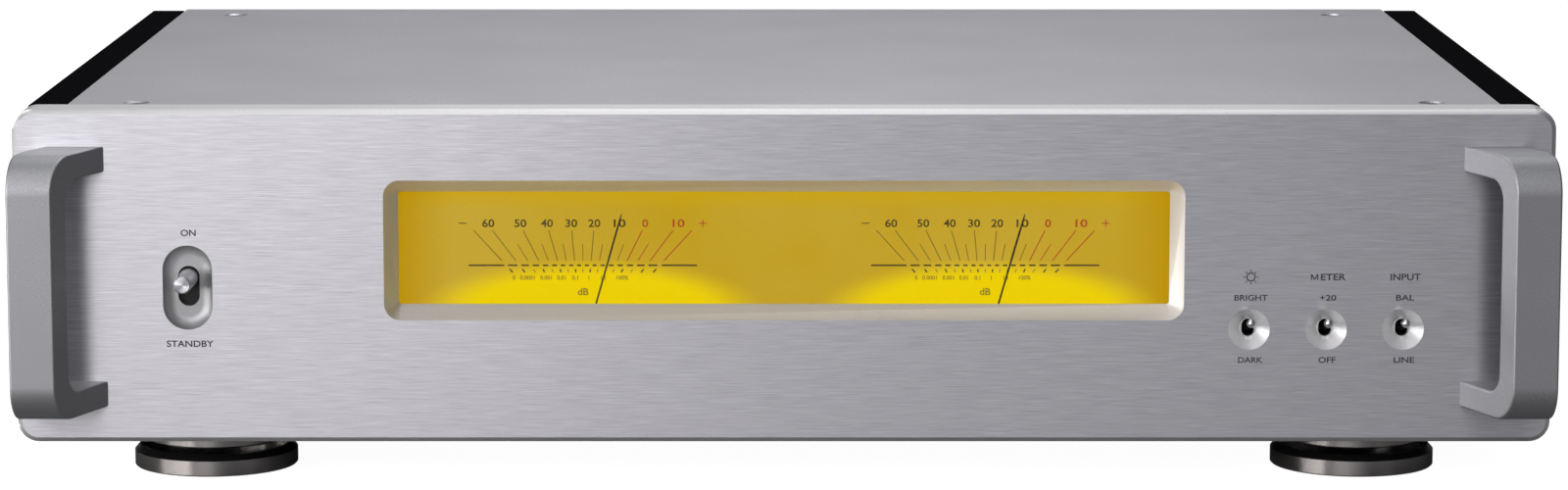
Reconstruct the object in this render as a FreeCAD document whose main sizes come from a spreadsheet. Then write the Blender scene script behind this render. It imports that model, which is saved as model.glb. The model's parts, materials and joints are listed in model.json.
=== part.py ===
import FreeCAD, Part

# Stereo power amplifier with a thick front panel, two level meters and side heat sinks.
# Millimetres. +X right and +Z up as seen from the front, which faces -Y. The floor is z = 0,
# and X and Y are zero in the middle of the whole amplifier.
import math
import operator
import os

import Sketcher
from FreeCAD import Placement, Rotation, Vector

SIZES = {
    # front panel: a slab with rounded corners and a bevelled front edge
    "face_y": -144, "panel_width": 444, "panel_height": 97, "panel_thick": 13,
    "panel_bottom": 14, "panel_corner": 6, "panel_bevel": 1.4,
    # handles
    "handle_reach": 30, "handle_height": 75.8, "handle_bottom": 24.5, "handle_wall": 7.4,
    "handle_bar": 8.5, "handle_round": 10.5, "handle_inner_round": 6, "handle_edge": 0.6,
    "handle_root_in": 195.6, "handle_root_out": 212.6, "handle_front_in": 206.6,
    "handle_front_out": 219.4, "handle_knee_out": 217.7, "handle_knee_reach": 12.6,
    "handle_bolt_x": 204.1, "handle_bolt_radius": 2,
    # meter window and the room behind it
    "window_width": 223.1, "window_height": 32.9, "window_z": 70.1, "window_bevel": 3.9,
    "window_bevel_depth": 5.5, "window_corner": 0.8, "cavity_width": 238, "cavity_bottom": 31,
    "cavity_top": 93, "cavity_depth": 7, "pane_thick": 2, "dial_thick": 0.8,
    # meters
    "meter_x": 58.5, "pivot_z": 39.6, "needle_length": 41.4, "needle_width": 0.5,
    "needle_angle": 16, "needle_tail": 7, "staff_radius": 0.6, "movement_radius": 17,
    "movement_depth": 22,
    # power switch
    "power_x": -172.1, "power_z": 59.3, "power_width": 14.3, "power_height": 24.6,
    "power_dish": 3.4, "power_dish_round": 3.3, "power_slot_width": 6.2,
    "power_slot_height": 11.7, "lever_up": 2.5,
    "lever_root": 2.75, "lever_tip": 2.45, "lever_out": 12.6,
    # small toggles
    "toggle_x": 134.3, "toggle_pitch": 22.25, "toggle_z": 47.1, "toggle_cone": 6,
    "toggle_depth": 3.6, "toggle_slot_width": 3.7, "toggle_slot_height": 5.1,
    "toggle_pivot_y": -134.4, "toggle_length": 17.4, "toggle_tilt": 10, "toggle_ball": 1.25,
    # chassis
    "chassis_z": 14.5, "plate": 2.5, "side_in": 195.8, "bottom_half": 216, "rear_y": 152.5,
    "sheet_thick": 2, "lip_height": 14, "cover_half": 208.2, "cover_thick": 3,
    "cover_rear": 156, "cover_gap": 0.25, "cover_edge": 0.7, "cover_top": 111,
    "cover_screw_x": 188.2, "cover_screw_rear": 135, "cover_screw_front": -126.8,
    "screw_recess": 3.9, "screw_shank": 1.9,
    # heat sinks
    "sink_out": 219, "sink_base": 7, "sink_front": -130.7, "sink_rear": 154.4,
    "sink_top": 110.6, "fin_pitch": 9, "fin_gap": 6.2, "fin_count": 10, "fin_first": 19.8,
    # feet
    "foot_x": 169.5, "foot_front": -101, "foot_rear": 105, "dish_radius": 24.2,
    "dish_height": 4.6, "dish_floor": 2.6, "ring_top": 6.3, "ring_radius": 22.7,
    "ring_bore": 21.6, "spike_radius": 21, "spike_bottom": 7.8, "spike_tip": 1.75,
    "foot_bolt": 2.5,
    # power supply
    "toroid_y": -42, "toroid_radius": 68, "toroid_hole": 24, "toroid_height": 60,
    "capacitor_radius": 25, "capacitor_height": 74, "capacitor_y": 60, "capacitor_x": 28,
    "board_thick": 1.6,
    # amplifier boards
    "board_x": 176, "board_front": -95, "board_rear": 115, "board_bottom": 28,
    "board_top": 92, "transistor_pitch": 38,
    # rear sockets
    "balanced_x": 150, "line_z": 36, "balanced_z": 72, "socket_pitch": 34,
    "shell_radius": 11.9, "shell_bore": 9.5, "insert_radius": 7.7, "line_radius": 4.15,
    "terminal_z": 48, "post_radius": 4, "post_tip": 174, "banana_radius": 2,
    "cap_radius": 8, "cap_front": 160.5, "cap_rear": 172.4, "cap_play": 0.09,
    "trigger_x": 78, "trigger_z": 44, "trigger_pitch": 16, "jack_radius": 1.75,
    "inlet_x": -140, "inlet_z": 50, "inlet_width": 27, "inlet_height": 20,
    "inlet_cavity_width": 24, "inlet_cavity_height": 16.4, "inlet_depth": 17,
}
TERMINALS = {"right_plus": 40, "right_minus": 10, "left_minus": -30, "left_plus": -60}
FAR = 400           # longer than any cut has to be
QUARTER = 90

doc = FreeCAD.newDocument("power_amplifier")
sheet = doc.addObject("Spreadsheet::Sheet", "dims")
for row, (alias, value) in enumerate(SIZES.items(), 1):
    sheet.set(f"A{row}", alias)
    sheet.set(f"B{row}", str(value))
    sheet.setAlias(f"B{row}", alias)
doc.recompute()


# ---------------------------------------------------------------- sizes with a formula

OPERATORS = {"+": operator.add, "-": operator.sub, "*": operator.mul, "/": operator.truediv}


class Size:
    """A number that remembers the sheet formula it comes from."""

    def __init__(self, value, formula):
        self.value = value
        self.formula = formula

    def __add__(self, other):
        return joined(self, "+", other)

    def __radd__(self, other):
        return joined(other, "+", self)

    def __sub__(self, other):
        return joined(self, "-", other)

    def __rsub__(self, other):
        return joined(other, "-", self)

    def __mul__(self, other):
        return joined(self, "*", other)

    def __rmul__(self, other):
        return joined(other, "*", self)

    def __truediv__(self, other):
        return joined(self, "/", other)

    def __neg__(self):
        return joined(0, "-", self)


def number(size):
    return size.value if isinstance(size, Size) else size


def formula(size):
    return size.formula if isinstance(size, Size) else f"{size}"


def joined(left, sign, right):
    value = OPERATORS[sign](number(left), number(right))
    return Size(value, f"({formula(left)} {sign} {formula(right)})")


class Cells:
    """Reads the sheet by alias: D.panel_width is that cell as a Size."""

    def __getattr__(self, alias):
        return Size(SIZES[alias], f"dims.{alias}")


D = Cells()


def bind(thing, prop, size):
    """Gives a property its number and, where it comes from the sheet, its formula."""
    if prop.isidentifier():
        setattr(thing, prop, number(size))
    if isinstance(size, Size):
        thing.setExpression(prop, size.formula)


def place(thing, at, turn=None):
    thing.Placement = Placement(Vector(*[number(size) for size in at]), turn or Rotation())
    for letter, size in zip("xyz", at):
        bind(thing, f"Placement.Base.{letter}", size)
    return thing


# ---------------------------------------------------------------- primitives and booleans

NODES = []
BACKWARDS = Rotation(Vector(1, 0, 0), -QUARTER)      # a cylinder's +Z becomes +Y


def keep(label, thing):
    """Marks a finished sub-part: its label names its file."""
    thing.Label = label
    NODES.append(thing)
    return thing


def block(x, y, z):
    """A box from its low and high value along each axis."""
    thing = doc.addObject("Part::Box", "block")
    for prop, (low, high) in zip(("Length", "Width", "Height"), (x, y, z)):
        bind(thing, prop, high - low)
    return place(thing, (x[0], y[0], z[0]))


def rod(radius, x, z, y):
    """A cylinder along Y, from one y to another."""
    thing = doc.addObject("Part::Cylinder", "rod")
    bind(thing, "Radius", radius)
    bind(thing, "Height", y[1] - y[0])
    return place(thing, (x, y[0], z), BACKWARDS)


def post(radius, x, y, z):
    """A cylinder along Z, from one z to another."""
    thing = doc.addObject("Part::Cylinder", "post")
    bind(thing, "Radius", radius)
    bind(thing, "Height", z[1] - z[0])
    return place(thing, (x, y, z[0]))


def group(*things):
    thing = doc.addObject("Part::Compound", "group")
    thing.Links = list(things)
    return thing


def fuse(*things):
    thing = doc.addObject("Part::MultiFuse", "fuse")
    thing.Shapes = list(things)
    return thing


def cut(base, *tools):
    thing = doc.addObject("Part::Cut", "cut")
    thing.Base = base
    thing.Tool = tools[0] if len(tools) == 1 else group(*tools)
    return thing


# ---------------------------------------------------------------- bodies and sketches

def body(label, at=(0, 0, 0), turn=None):
    return keep(label, place(doc.addObject("PartDesign::Body", label), at, turn))


def sketch(owner, plane, setback=0):
    """A sketch on one of the body's own planes, moved along that plane's normal."""
    drawing = owner.newObject("Sketcher::SketchObject", f"{owner.Name}_sketch")
    support = next(item for item in owner.Origin.OriginFeatures if item.Role == plane)
    drawing.AttachmentSupport = [(support, "")]
    drawing.MapMode = "FlatFace"
    drawing.AttachmentOffset = Placement(Vector(0, 0, number(setback)), Rotation())
    bind(drawing, "AttachmentOffset.Base.z", setback)
    return drawing


def hold(drawing, geometry, point, x, y):
    """Ties a point to the sketch's origin by two distances."""
    for kind, size in (("DistanceX", x), ("DistanceY", y)):
        rule = Sketcher.Constraint(kind, -1, 1, geometry, point, float(number(size)))
        bind(drawing, f"Constraints[{drawing.addConstraint(rule)}]", size)


def outline(drawing, *corners):
    """A closed outline of straight lines through the corners."""
    first = drawing.GeometryCount
    spots = [Vector(number(x), number(y), 0) for x, y in corners]
    for start, end in zip(spots, spots[1:] + spots[:1]):
        drawing.addGeometry(Part.LineSegment(start, end))
    for index, (x, y) in enumerate(corners):
        before = first + (index - 1) % len(corners)
        drawing.addConstraint(Sketcher.Constraint("Coincident", before, 2, first + index, 1))
        hold(drawing, first + index, 1, x, y)


def rectangle(drawing, x, y):
    outline(drawing, (x[0], y[0]), (x[1], y[0]), (x[1], y[1]), (x[0], y[1]))


def circle(drawing, x, y, radius):
    centre = Vector(number(x), number(y), 0)
    round_line = drawing.addGeometry(Part.Circle(centre, Vector(0, 0, 1), number(radius)))
    rule = Sketcher.Constraint("Radius", round_line, float(number(radius)))
    bind(drawing, f"Constraints[{drawing.addConstraint(rule)}]", radius)
    hold(drawing, round_line, 3, x, y)


def slot(drawing, x, y, width, height):
    """An upright slot with round ends."""
    radius, reach = width / 2, (height - width) / 2
    ends = []
    for side, sweep in ((1, (0, math.pi)), (-1, (math.pi, 2 * math.pi))):
        centre = Vector(number(x), number(y) + side * number(reach), 0)
        ring = Part.Circle(centre, Vector(0, 0, 1), number(radius))
        ends.append(drawing.addGeometry(Part.ArcOfCircle(ring, *sweep)))
        hold(drawing, ends[-1], 3, x, y + side * reach)
    rule = Sketcher.Constraint("Radius", ends[0], float(number(radius)))
    bind(drawing, f"Constraints[{drawing.addConstraint(rule)}]", radius)
    for side, (top_point, low_point) in ((1, (1, 2)), (-1, (2, 1))):
        edge = number(x) + side * number(radius)
        line = drawing.addGeometry(Part.LineSegment(
            Vector(edge, number(y + reach), 0), Vector(edge, number(y - reach), 0)))
        drawing.addConstraint(Sketcher.Constraint("Tangent", line, 1, ends[0], top_point))
        drawing.addConstraint(Sketcher.Constraint("Tangent", line, 2, ends[1], low_point))


def pad(owner, drawing, length, back=False, middle=False):
    """Extrudes along the sketch's normal, or against it when back is true."""
    feature = owner.newObject("PartDesign::Pad", f"{owner.Name}_pad")
    feature.Profile = drawing
    feature.Reversed = back
    feature.SideType = "Symmetric" if middle else "One side"
    bind(feature, "Length", length)
    doc.recompute()
    return feature


def pocket(owner, drawing, length, back=False, middle=False):
    """Cuts against the sketch's normal, or along it when back is true."""
    before = owner.Shape.Volume
    feature = owner.newObject("PartDesign::Pocket", f"{owner.Name}_pocket")
    feature.Profile = drawing
    feature.Reversed = back
    feature.SideType = "Symmetric" if middle else "One side"
    bind(feature, "Length", length)
    doc.recompute()
    assert owner.Shape.Volume < before - 1, f"{feature.Name} cuts nothing"
    return feature


def turned(label, points, at=(0, 0, 0), turn=None):
    """A body of revolution: the outline gives radius and height along the axis."""
    owner = body(label, at, turn)
    drawing = sketch(owner, "XZ_Plane")
    outline(drawing, *points)
    feature = owner.newObject("PartDesign::Revolution", f"{owner.Name}_turned")
    feature.Profile = drawing
    feature.ReferenceAxis = (drawing, ["V_Axis"])
    feature.Angle = 4 * QUARTER
    doc.recompute()
    return owner


def dress(owner, kind, size, test, second=None):
    """A fillet or a chamfer on the edges whose middle point and length pass the test."""
    base = owner.Tip
    chosen = [f"Edge{index}" for index, edge in enumerate(base.Shape.Edges, 1)
              if test(edge.CenterOfMass, edge)]
    feature = owner.newObject(f"PartDesign::{kind}", f"{owner.Name}_{kind.lower()}")
    feature.Base = (base, chosen)
    if kind == "Fillet":
        bind(feature, "Radius", size)
    else:
        bind(feature, "Size", size)
    if second is not None:
        feature.ChamferType = "Two distances"
        bind(feature, "Size2", second)
    doc.recompute()
    return feature


def near(value, size, within=0.01):
    return abs(value - number(size)) < within


# ---------------------------------------------------------------- front panel and handles

PANEL_REAR = D.face_y + D.panel_thick
PIVOTS = {"left": -D.meter_x, "right": D.meter_x}
TOGGLES = {"brightness": D.toggle_x, "meter": D.toggle_x + D.toggle_pitch,
           "input": D.toggle_x + 2 * D.toggle_pitch}
HANDLE_BOLT_ZS = (D.handle_bottom + D.handle_wall / 2,
                  D.handle_bottom + D.handle_height - D.handle_wall / 2)
SWITCH_ROOM = 8     # depth of the pockets behind the switches


def make_front_panel():
    panel = body("front_panel", (0, D.face_y, 0))
    half, top = D.panel_width / 2, D.panel_bottom + D.panel_height
    slab = sketch(panel, "XZ_Plane")
    rectangle(slab, (-half, half), (D.panel_bottom, top))
    pad(panel, slab, D.panel_thick, back=True)
    dress(panel, "Fillet", D.panel_corner, lambda middle, edge: near(middle.y, D.panel_thick / 2))

    window = sketch(panel, "XZ_Plane")
    rectangle(window, (-D.window_width / 2, D.window_width / 2),
              (D.window_z - D.window_height / 2, D.window_z + D.window_height / 2))
    pocket(panel, window, D.panel_thick)
    dress(panel, "Fillet", D.window_corner, lambda middle, edge: near(
        abs(middle.x), D.window_width / 2) and near(edge.Length, D.panel_thick))
    dress(panel, "Chamfer", D.panel_bevel, lambda middle, edge: near(middle.y, 0)
          and (abs(middle.x) > number(half) - 5 or middle.z > 105 or middle.z < 20))

    cavity = sketch(panel, "XZ_Plane", -D.panel_thick)
    rectangle(cavity, (-D.cavity_width / 2, D.cavity_width / 2), (D.cavity_bottom, D.cavity_top))
    pocket(panel, cavity, D.cavity_depth, back=True)
    dress(panel, "Chamfer", D.window_bevel, lambda middle, edge: near(middle.y, 0)
          and abs(middle.x) < 112.5 and 50 < middle.z < 95, second=D.window_bevel_depth)

    dish = sketch(panel, "XZ_Plane")
    slot(dish, D.power_x, D.power_z, D.power_width, D.power_height)
    pocket(panel, dish, D.power_dish)
    dress(panel, "Fillet", D.power_dish_round, lambda middle, edge: near(middle.y, D.power_dish)
          and near(middle.x, D.power_x, SIZES["power_width"]))
    for name, x in TOGGLES.items():
        cone = panel.newObject("PartDesign::SubtractiveLoft", f"{name}_cone")
        mouth, throat = sketch(panel, "XZ_Plane"), sketch(panel, "XZ_Plane", -D.toggle_depth)
        circle(mouth, x, D.toggle_z, D.toggle_cone)
        circle(throat, x, D.toggle_z, D.toggle_slot_height / 2)
        cone.Profile, cone.Sections = mouth, [throat]
        doc.recompute()

    slots = sketch(panel, "XZ_Plane")
    slot(slots, D.power_x, D.power_z, D.power_slot_width, D.power_slot_height)
    rooms = sketch(panel, "XZ_Plane", -D.panel_thick)
    rectangle(rooms, (D.power_x - 8, D.power_x + 8), (D.power_z - 15, D.power_z + 15))
    for x in TOGGLES.values():
        slot(slots, x, D.toggle_z, D.toggle_slot_width, D.toggle_slot_height)
        circle(rooms, x, D.toggle_z, 7)
    pocket(panel, slots, D.panel_thick)
    pocket(panel, rooms, SWITCH_ROOM, back=True)

    holes, heads = sketch(panel, "XZ_Plane"), sketch(panel, "XZ_Plane", -D.panel_thick)
    for x in (-D.handle_bolt_x, D.handle_bolt_x):
        for z in HANDLE_BOLT_ZS:
            circle(holes, x, z, D.handle_bolt_radius + 0.15)
            circle(heads, x, z, 2 * D.handle_bolt_radius)
    pocket(panel, holes, D.panel_thick)
    pocket(panel, heads, 5, back=True)


def make_handle(name, side):
    """C-shaped from the side; seen from above its inner face slants out to the front."""
    handle = body(f"handle_{name}", (0, D.face_y, 0))
    top = D.handle_bottom + D.handle_height
    bar = D.handle_bar - D.handle_reach
    profile = sketch(handle, "YZ_Plane", side * D.handle_bolt_x)
    outline(profile, (0, D.handle_bottom), (-D.handle_reach, D.handle_bottom),
            (-D.handle_reach, top), (0, top), (0, top - D.handle_wall),
            (bar, top - D.handle_wall), (bar, D.handle_bottom + D.handle_wall),
            (0, D.handle_bottom + D.handle_wall))
    pad(handle, profile, 50, middle=True)
    dress(handle, "Fillet", D.handle_round, lambda middle, edge: near(middle.y, -D.handle_reach)
          and near(edge.Length, 50))
    dress(handle, "Fillet", D.handle_inner_round, lambda middle, edge: near(middle.y, bar)
          and near(edge.Length, 50))
    wide = D.handle_bolt_x + 40
    waste = sketch(handle, "XY_Plane")
    outline(waste, (side * D.handle_root_in, 0),
            (side * D.handle_front_in, -D.handle_reach),
            (side * D.handle_front_in, -D.handle_reach - 5),
            (side * (D.handle_bolt_x - 40), -D.handle_reach - 5),
            (side * (D.handle_bolt_x - 40), 5), (side * D.handle_root_in, 5))
    outline(waste, (side * D.handle_root_out, 0),
            (side * D.handle_knee_out, -D.handle_knee_reach),
            (side * D.handle_front_out, -D.handle_reach),
            (side * D.handle_front_out, -D.handle_reach - 5),
            (side * wide, -D.handle_reach - 5), (side * wide, 5),
            (side * D.handle_root_out, 5))
    pocket(handle, waste, FAR, middle=True)
    dress(handle, "Fillet", D.handle_edge, lambda middle, edge: middle.y < -0.01
          and not near(middle.y, -D.handle_knee_reach, 0.5)
          and not is_crossing(edge, side))
    threads = sketch(handle, "XZ_Plane")
    for z in HANDLE_BOLT_ZS:
        circle(threads, side * D.handle_bolt_x, z, D.handle_bolt_radius + 0.05)
    pocket(handle, threads, 12, back=True)


def is_crossing(edge, side):
    """True for an edge that runs across the handle, between its inner and outer side."""
    box = edge.BoundBox
    return box.YLength < 0.01 and box.ZLength < 0.01


def make_handle_bolts():
    bolts = []
    for x in (-D.handle_bolt_x, D.handle_bolt_x):
        for z in HANDLE_BOLT_ZS:
            shank = rod(D.handle_bolt_radius, x, z, (D.face_y - 11, PANEL_REAR - 4.5))
            head = rod(1.8 * D.handle_bolt_radius, x, z, (PANEL_REAR - 5, PANEL_REAR - 1))
            bolts.append(fuse(shank, head))
    keep("handle_bolts", group(*bolts))


# ---------------------------------------------------------------- meters

def make_meters():
    pane_y = PANEL_REAR - D.cavity_depth
    keep("window_pane", block((-115.5, 115.5), (pane_y, pane_y + D.pane_thick),
                              (D.window_z - 20, D.window_z + 20)))
    dial_y = PANEL_REAR - D.dial_thick
    plate = block((-D.cavity_width / 2 + 0.5, D.cavity_width / 2 - 0.5), (dial_y, PANEL_REAR),
                  (D.cavity_bottom + 0.5, D.cavity_top - 0.5))
    holes = [rod(1.6, x, D.pivot_z, (dial_y - 1, PANEL_REAR + 1)) for x in PIVOTS.values()]
    keep("meter_dial", cut(plate, *holes))
    lamps = []
    for start in (-D.meter_x - 46, -D.meter_x + 14, D.meter_x - 46, D.meter_x + 14):
        strip = block((start, start + 32), (dial_y - 1.6, dial_y), (44.5, 50.5))
        chips = [block((start + step, start + step + 3), (dial_y - 2.4, dial_y - 1.6), (46, 49))
                 for step in (3, 14.5, 26)]
        lamps.append(fuse(strip, *chips))
    keep("meter_lamps", group(*lamps))
    for name, x in PIVOTS.items():
        make_movement(name, x)
        make_needle(name, x, dial_y)


def make_movement(name, x):
    """Moving-coil movement: a round can with a bearing bore, and a clamp ring at the front."""
    front = PANEL_REAR
    can = rod(D.movement_radius, x, D.pivot_z, (front, front + D.movement_depth))
    magnet = block((x - 9, x + 9), (front + D.movement_depth, front + D.movement_depth + 5),
                   (D.pivot_z - 9, D.pivot_z + 9))
    bearing = rod(D.staff_radius + 0.05, x, D.pivot_z, (front - 1, front + 12))
    keep(f"meter_movement_{name}", cut(fuse(can, magnet), bearing))


def make_needle(name, x, dial_y):
    """Needle, hub and staff, drawn upright and then turned to where it stands."""
    needle = body(f"needle_{name}", (x, 0, D.pivot_z),
                  Rotation(Vector(0, 1, 0), SIZES["needle_angle"]))
    needle.setExpression("Placement.Rotation.Angle", "dims.needle_angle")
    hub = sketch(needle, "XZ_Plane", -(dial_y - 1.1))
    circle(hub, 0, 0, 3.4)
    pad(needle, hub, 1.5)
    staff = sketch(needle, "XZ_Plane", -(PANEL_REAR + 10))
    circle(staff, 0, 0, D.staff_radius)
    pad(needle, staff, 10 + D.dial_thick + 1.5)
    blade = sketch(needle, "XZ_Plane", -(dial_y - 1.6))
    half = D.needle_width / 2
    outline(blade, (-1.1, -D.needle_tail), (1.1, -D.needle_tail), (1.1, -3), (half, 3),
            (half, D.needle_length - 2), (0.1, D.needle_length), (-0.1, D.needle_length),
            (-half, D.needle_length - 2), (-half, 3), (-1.1, -3))
    pad(needle, blade, 0.5)


# ---------------------------------------------------------------- switches

def make_power_switch():
    """A lever that slides up and down in its slot, carried by a plate behind the panel."""
    x, z = D.power_x, D.power_z
    front = PANEL_REAR - 5.5
    can = block((x - 7, x + 7), (front, front + 27), (z - 13.5, z + 13.5))
    throat = block((x - 1.8, x + 1.8), (front - 1, front + 6), (z - 5, z + 5))
    keep("power_switch_body", cut(can, throat))

    lever = body("power_lever", (x, D.face_y + D.power_dish, z + D.lever_up))
    shaft = sketch(lever, "XZ_Plane")
    circle(shaft, 0, 0, D.lever_root)
    pad(lever, shaft, D.power_dish + D.lever_out - 1)
    slim = math.degrees(math.atan((SIZES["lever_root"] - SIZES["lever_tip"])
                                  / (SIZES["power_dish"] + SIZES["lever_out"])))
    lever.Tip.TaperAngle = -slim
    end = sketch(lever, "XZ_Plane", D.power_dish + D.lever_out - 1)
    circle(end, 0, 0, D.lever_tip)
    pad(lever, end, 1)
    dress(lever, "Chamfer", 0.35, lambda middle, edge: near(
        middle.y, -(D.power_dish + D.lever_out), 0.05))
    neck = sketch(lever, "XZ_Plane")
    circle(neck, 0, 0, D.lever_root - 0.35)
    pad(lever, neck, 2.2, back=True)
    plate = sketch(lever, "XZ_Plane", -2)
    rectangle(plate, (-6.5, 6.5), (-9.5, 9.5))
    pad(lever, plate, 1.6, back=True)
    tail = sketch(lever, "XZ_Plane", -3.5)
    circle(tail, 0, 0, 1.3)
    pad(lever, tail, 5, back=True)


def make_toggles():
    cans = []
    for name, x in TOGGLES.items():
        bush = rod(5.5, x, D.toggle_z, (PANEL_REAR - 7.6, PANEL_REAR))
        can = block((x - 5, x + 5), (PANEL_REAR, PANEL_REAR + 13),
                    (D.toggle_z - 6.5, D.toggle_z + 6.5))
        bore = rod(2.6, x, D.toggle_z, (PANEL_REAR - 8, PANEL_REAR + 2))
        cans.append(cut(fuse(bush, can), bore))
        make_toggle_lever(name, x)
    keep("toggle_bodies", group(*cans))


def make_toggle_lever(name, x):
    """A turned lever: pivot ball, slim neck and ball tip, tilted up in its cone."""
    up = Rotation(Vector(1, 0, 0), QUARTER - SIZES["toggle_tilt"])
    ball, tip = 2.2, D.toggle_length
    profile = ((0, -3.6), (0.8, -3.6), (0.9, -2), (1.8, -1.3), (ball, 0), (1.8, 1.3), (0.95, 2.1),
               (0.8, tip - 2.2), (1.0, tip - 1.95), (D.toggle_ball, tip - 1.2),
               (1.15, tip - 0.55), (0.75, tip - 0.15), (0, tip))
    lever = turned(f"{name}_lever", profile, (x, D.toggle_pivot_y, D.toggle_z), up)
    lever.setExpression("Placement.Rotation.Angle", "90 - dims.toggle_tilt")
    doc.recompute()


def make_switch_board():
    board = block((122, 192), (PANEL_REAR + 13, PANEL_REAR + 13 + D.board_thick), (26, 72))
    chips = [block((x, x + 8), (PANEL_REAR + 13 + D.board_thick, PANEL_REAR + 17), (34, 44))
             for x in (130, 150, 170)]
    keep("front_switch_board", fuse(board, *chips))


# ---------------------------------------------------------------- chassis, cover, heat sinks

PLATE_TOP = D.chassis_z + D.plate
COVER_UNDER = D.cover_top - D.cover_thick
FEET = {"left": (-D.foot_x, D.foot_front), "right": (D.foot_x, D.foot_front),
        "rear": (0, D.foot_rear)}
LIP_REAR = D.rear_y - 0.2
REAR_FACE = D.rear_y + D.plate
SINK_MIDDLE = (D.sink_front + D.sink_rear) / 2
SINK_SCREWS = (-120, -40, 40, 120)      # along Y from the middle of the heat sink
SINK_SCREW_IN = 3.7                     # from the inner face of the heat sink
REAR_SCREWS = [(x, 24) for x in (-180, -100, 100, 180)] + [(x, 103) for x in (-189, 189)]


def make_bottom_plate():
    plate = body("bottom_plate", (0, 0, D.chassis_z))
    sheet_outline = sketch(plate, "XY_Plane")
    rectangle(sheet_outline, (-D.bottom_half, D.bottom_half), (PANEL_REAR + 0.2, LIP_REAR))
    pad(plate, sheet_outline, D.plate)
    lip = sketch(plate, "XY_Plane", D.plate)
    rectangle(lip, (-D.side_in + 1, D.side_in - 1), (LIP_REAR - D.sheet_thick, LIP_REAR))
    pad(plate, lip, D.lip_height)
    holes = sketch(plate, "XY_Plane", D.plate)
    for x, y in FEET.values():
        circle(holes, x, y, D.foot_bolt + 0.1)
    for side in (-1, 1):
        for y in SINK_SCREWS:
            circle(holes, side * (D.side_in + 0.2 + SINK_SCREW_IN), SINK_MIDDLE + y, 1.6)
    pocket(plate, holes, D.plate)
    vent = sketch(plate, "XY_Plane", D.plate)
    rectangle(vent, (-160, -120), (-60, -57))
    rectangle(vent, (120, 160), (-60, -57))
    vents = pocket(plate, vent, D.plate)
    rows = plate.newObject("PartDesign::LinearPattern", "vent_rows")
    rows.Originals = [vents]
    rows.Direction = (vent, ["V_Axis"])
    rows.Length, rows.Occurrences = 120, 13
    plate.Tip = rows
    doc.recompute()
    screws = sketch(plate, "XZ_Plane", -LIP_REAR)
    for x, z in REAR_SCREWS[:4]:
        circle(screws, x, z - D.chassis_z, 1.6)
    pocket(plate, screws, D.sheet_thick, back=True)


def make_bottom_screws():
    """Screws that hold the heat sinks down on the bottom plate, from below."""
    screws = []
    for side in (-1, 1):
        for along in SINK_SCREWS:
            x, y = side * (D.side_in + 0.2 + SINK_SCREW_IN), SINK_MIDDLE + along
            screws.append(fuse(post(3, x, y, (D.chassis_z - 1.4, D.chassis_z)),
                               post(1.5, x, y, (D.chassis_z - 1, PLATE_TOP + 7))))
    keep("bottom_screws", group(*screws))


def make_heatsink(name, turn):
    """Extruded along Y: a base, a stepped top that carries the cover, and level fins."""
    side = 1 if turn == 0 else -1
    sink = body(f"heatsink_{name}", (side * (D.side_in + 0.2), SINK_MIDDLE, 0),
                Rotation(Vector(0, 0, 1), turn))
    half = (D.sink_rear - D.sink_front) / 2
    depth, step = D.sink_out - D.side_in - 0.2, D.cover_half - D.side_in + 0.1
    profile = sketch(sink, "XZ_Plane")
    outline(profile, (0, PLATE_TOP), (depth, PLATE_TOP), (depth, D.sink_top),
            (step, D.sink_top), (step, COVER_UNDER), (0, COVER_UNDER))
    pad(sink, profile, 2 * half, middle=True)
    gap = sketch(sink, "XZ_Plane", half)
    rectangle(gap, (D.sink_base, depth + 1), (D.fin_first, D.fin_first + D.fin_gap))
    slot_cut = pocket(sink, gap, 2 * half)
    fins = sink.newObject("PartDesign::LinearPattern", f"{name}_fins")
    fins.Originals = [slot_cut]
    fins.Direction = (gap, ["V_Axis"])
    bind(fins, "Length", D.fin_pitch * (D.fin_count - 1))
    fins.Occurrences = SIZES["fin_count"]
    sink.Tip = fins
    doc.recompute()
    threads = sketch(sink, "XY_Plane", PLATE_TOP)
    for y in SINK_SCREWS:
        circle(threads, SINK_SCREW_IN, y, 1.6)
    pocket(sink, threads, 8, back=True)


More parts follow.
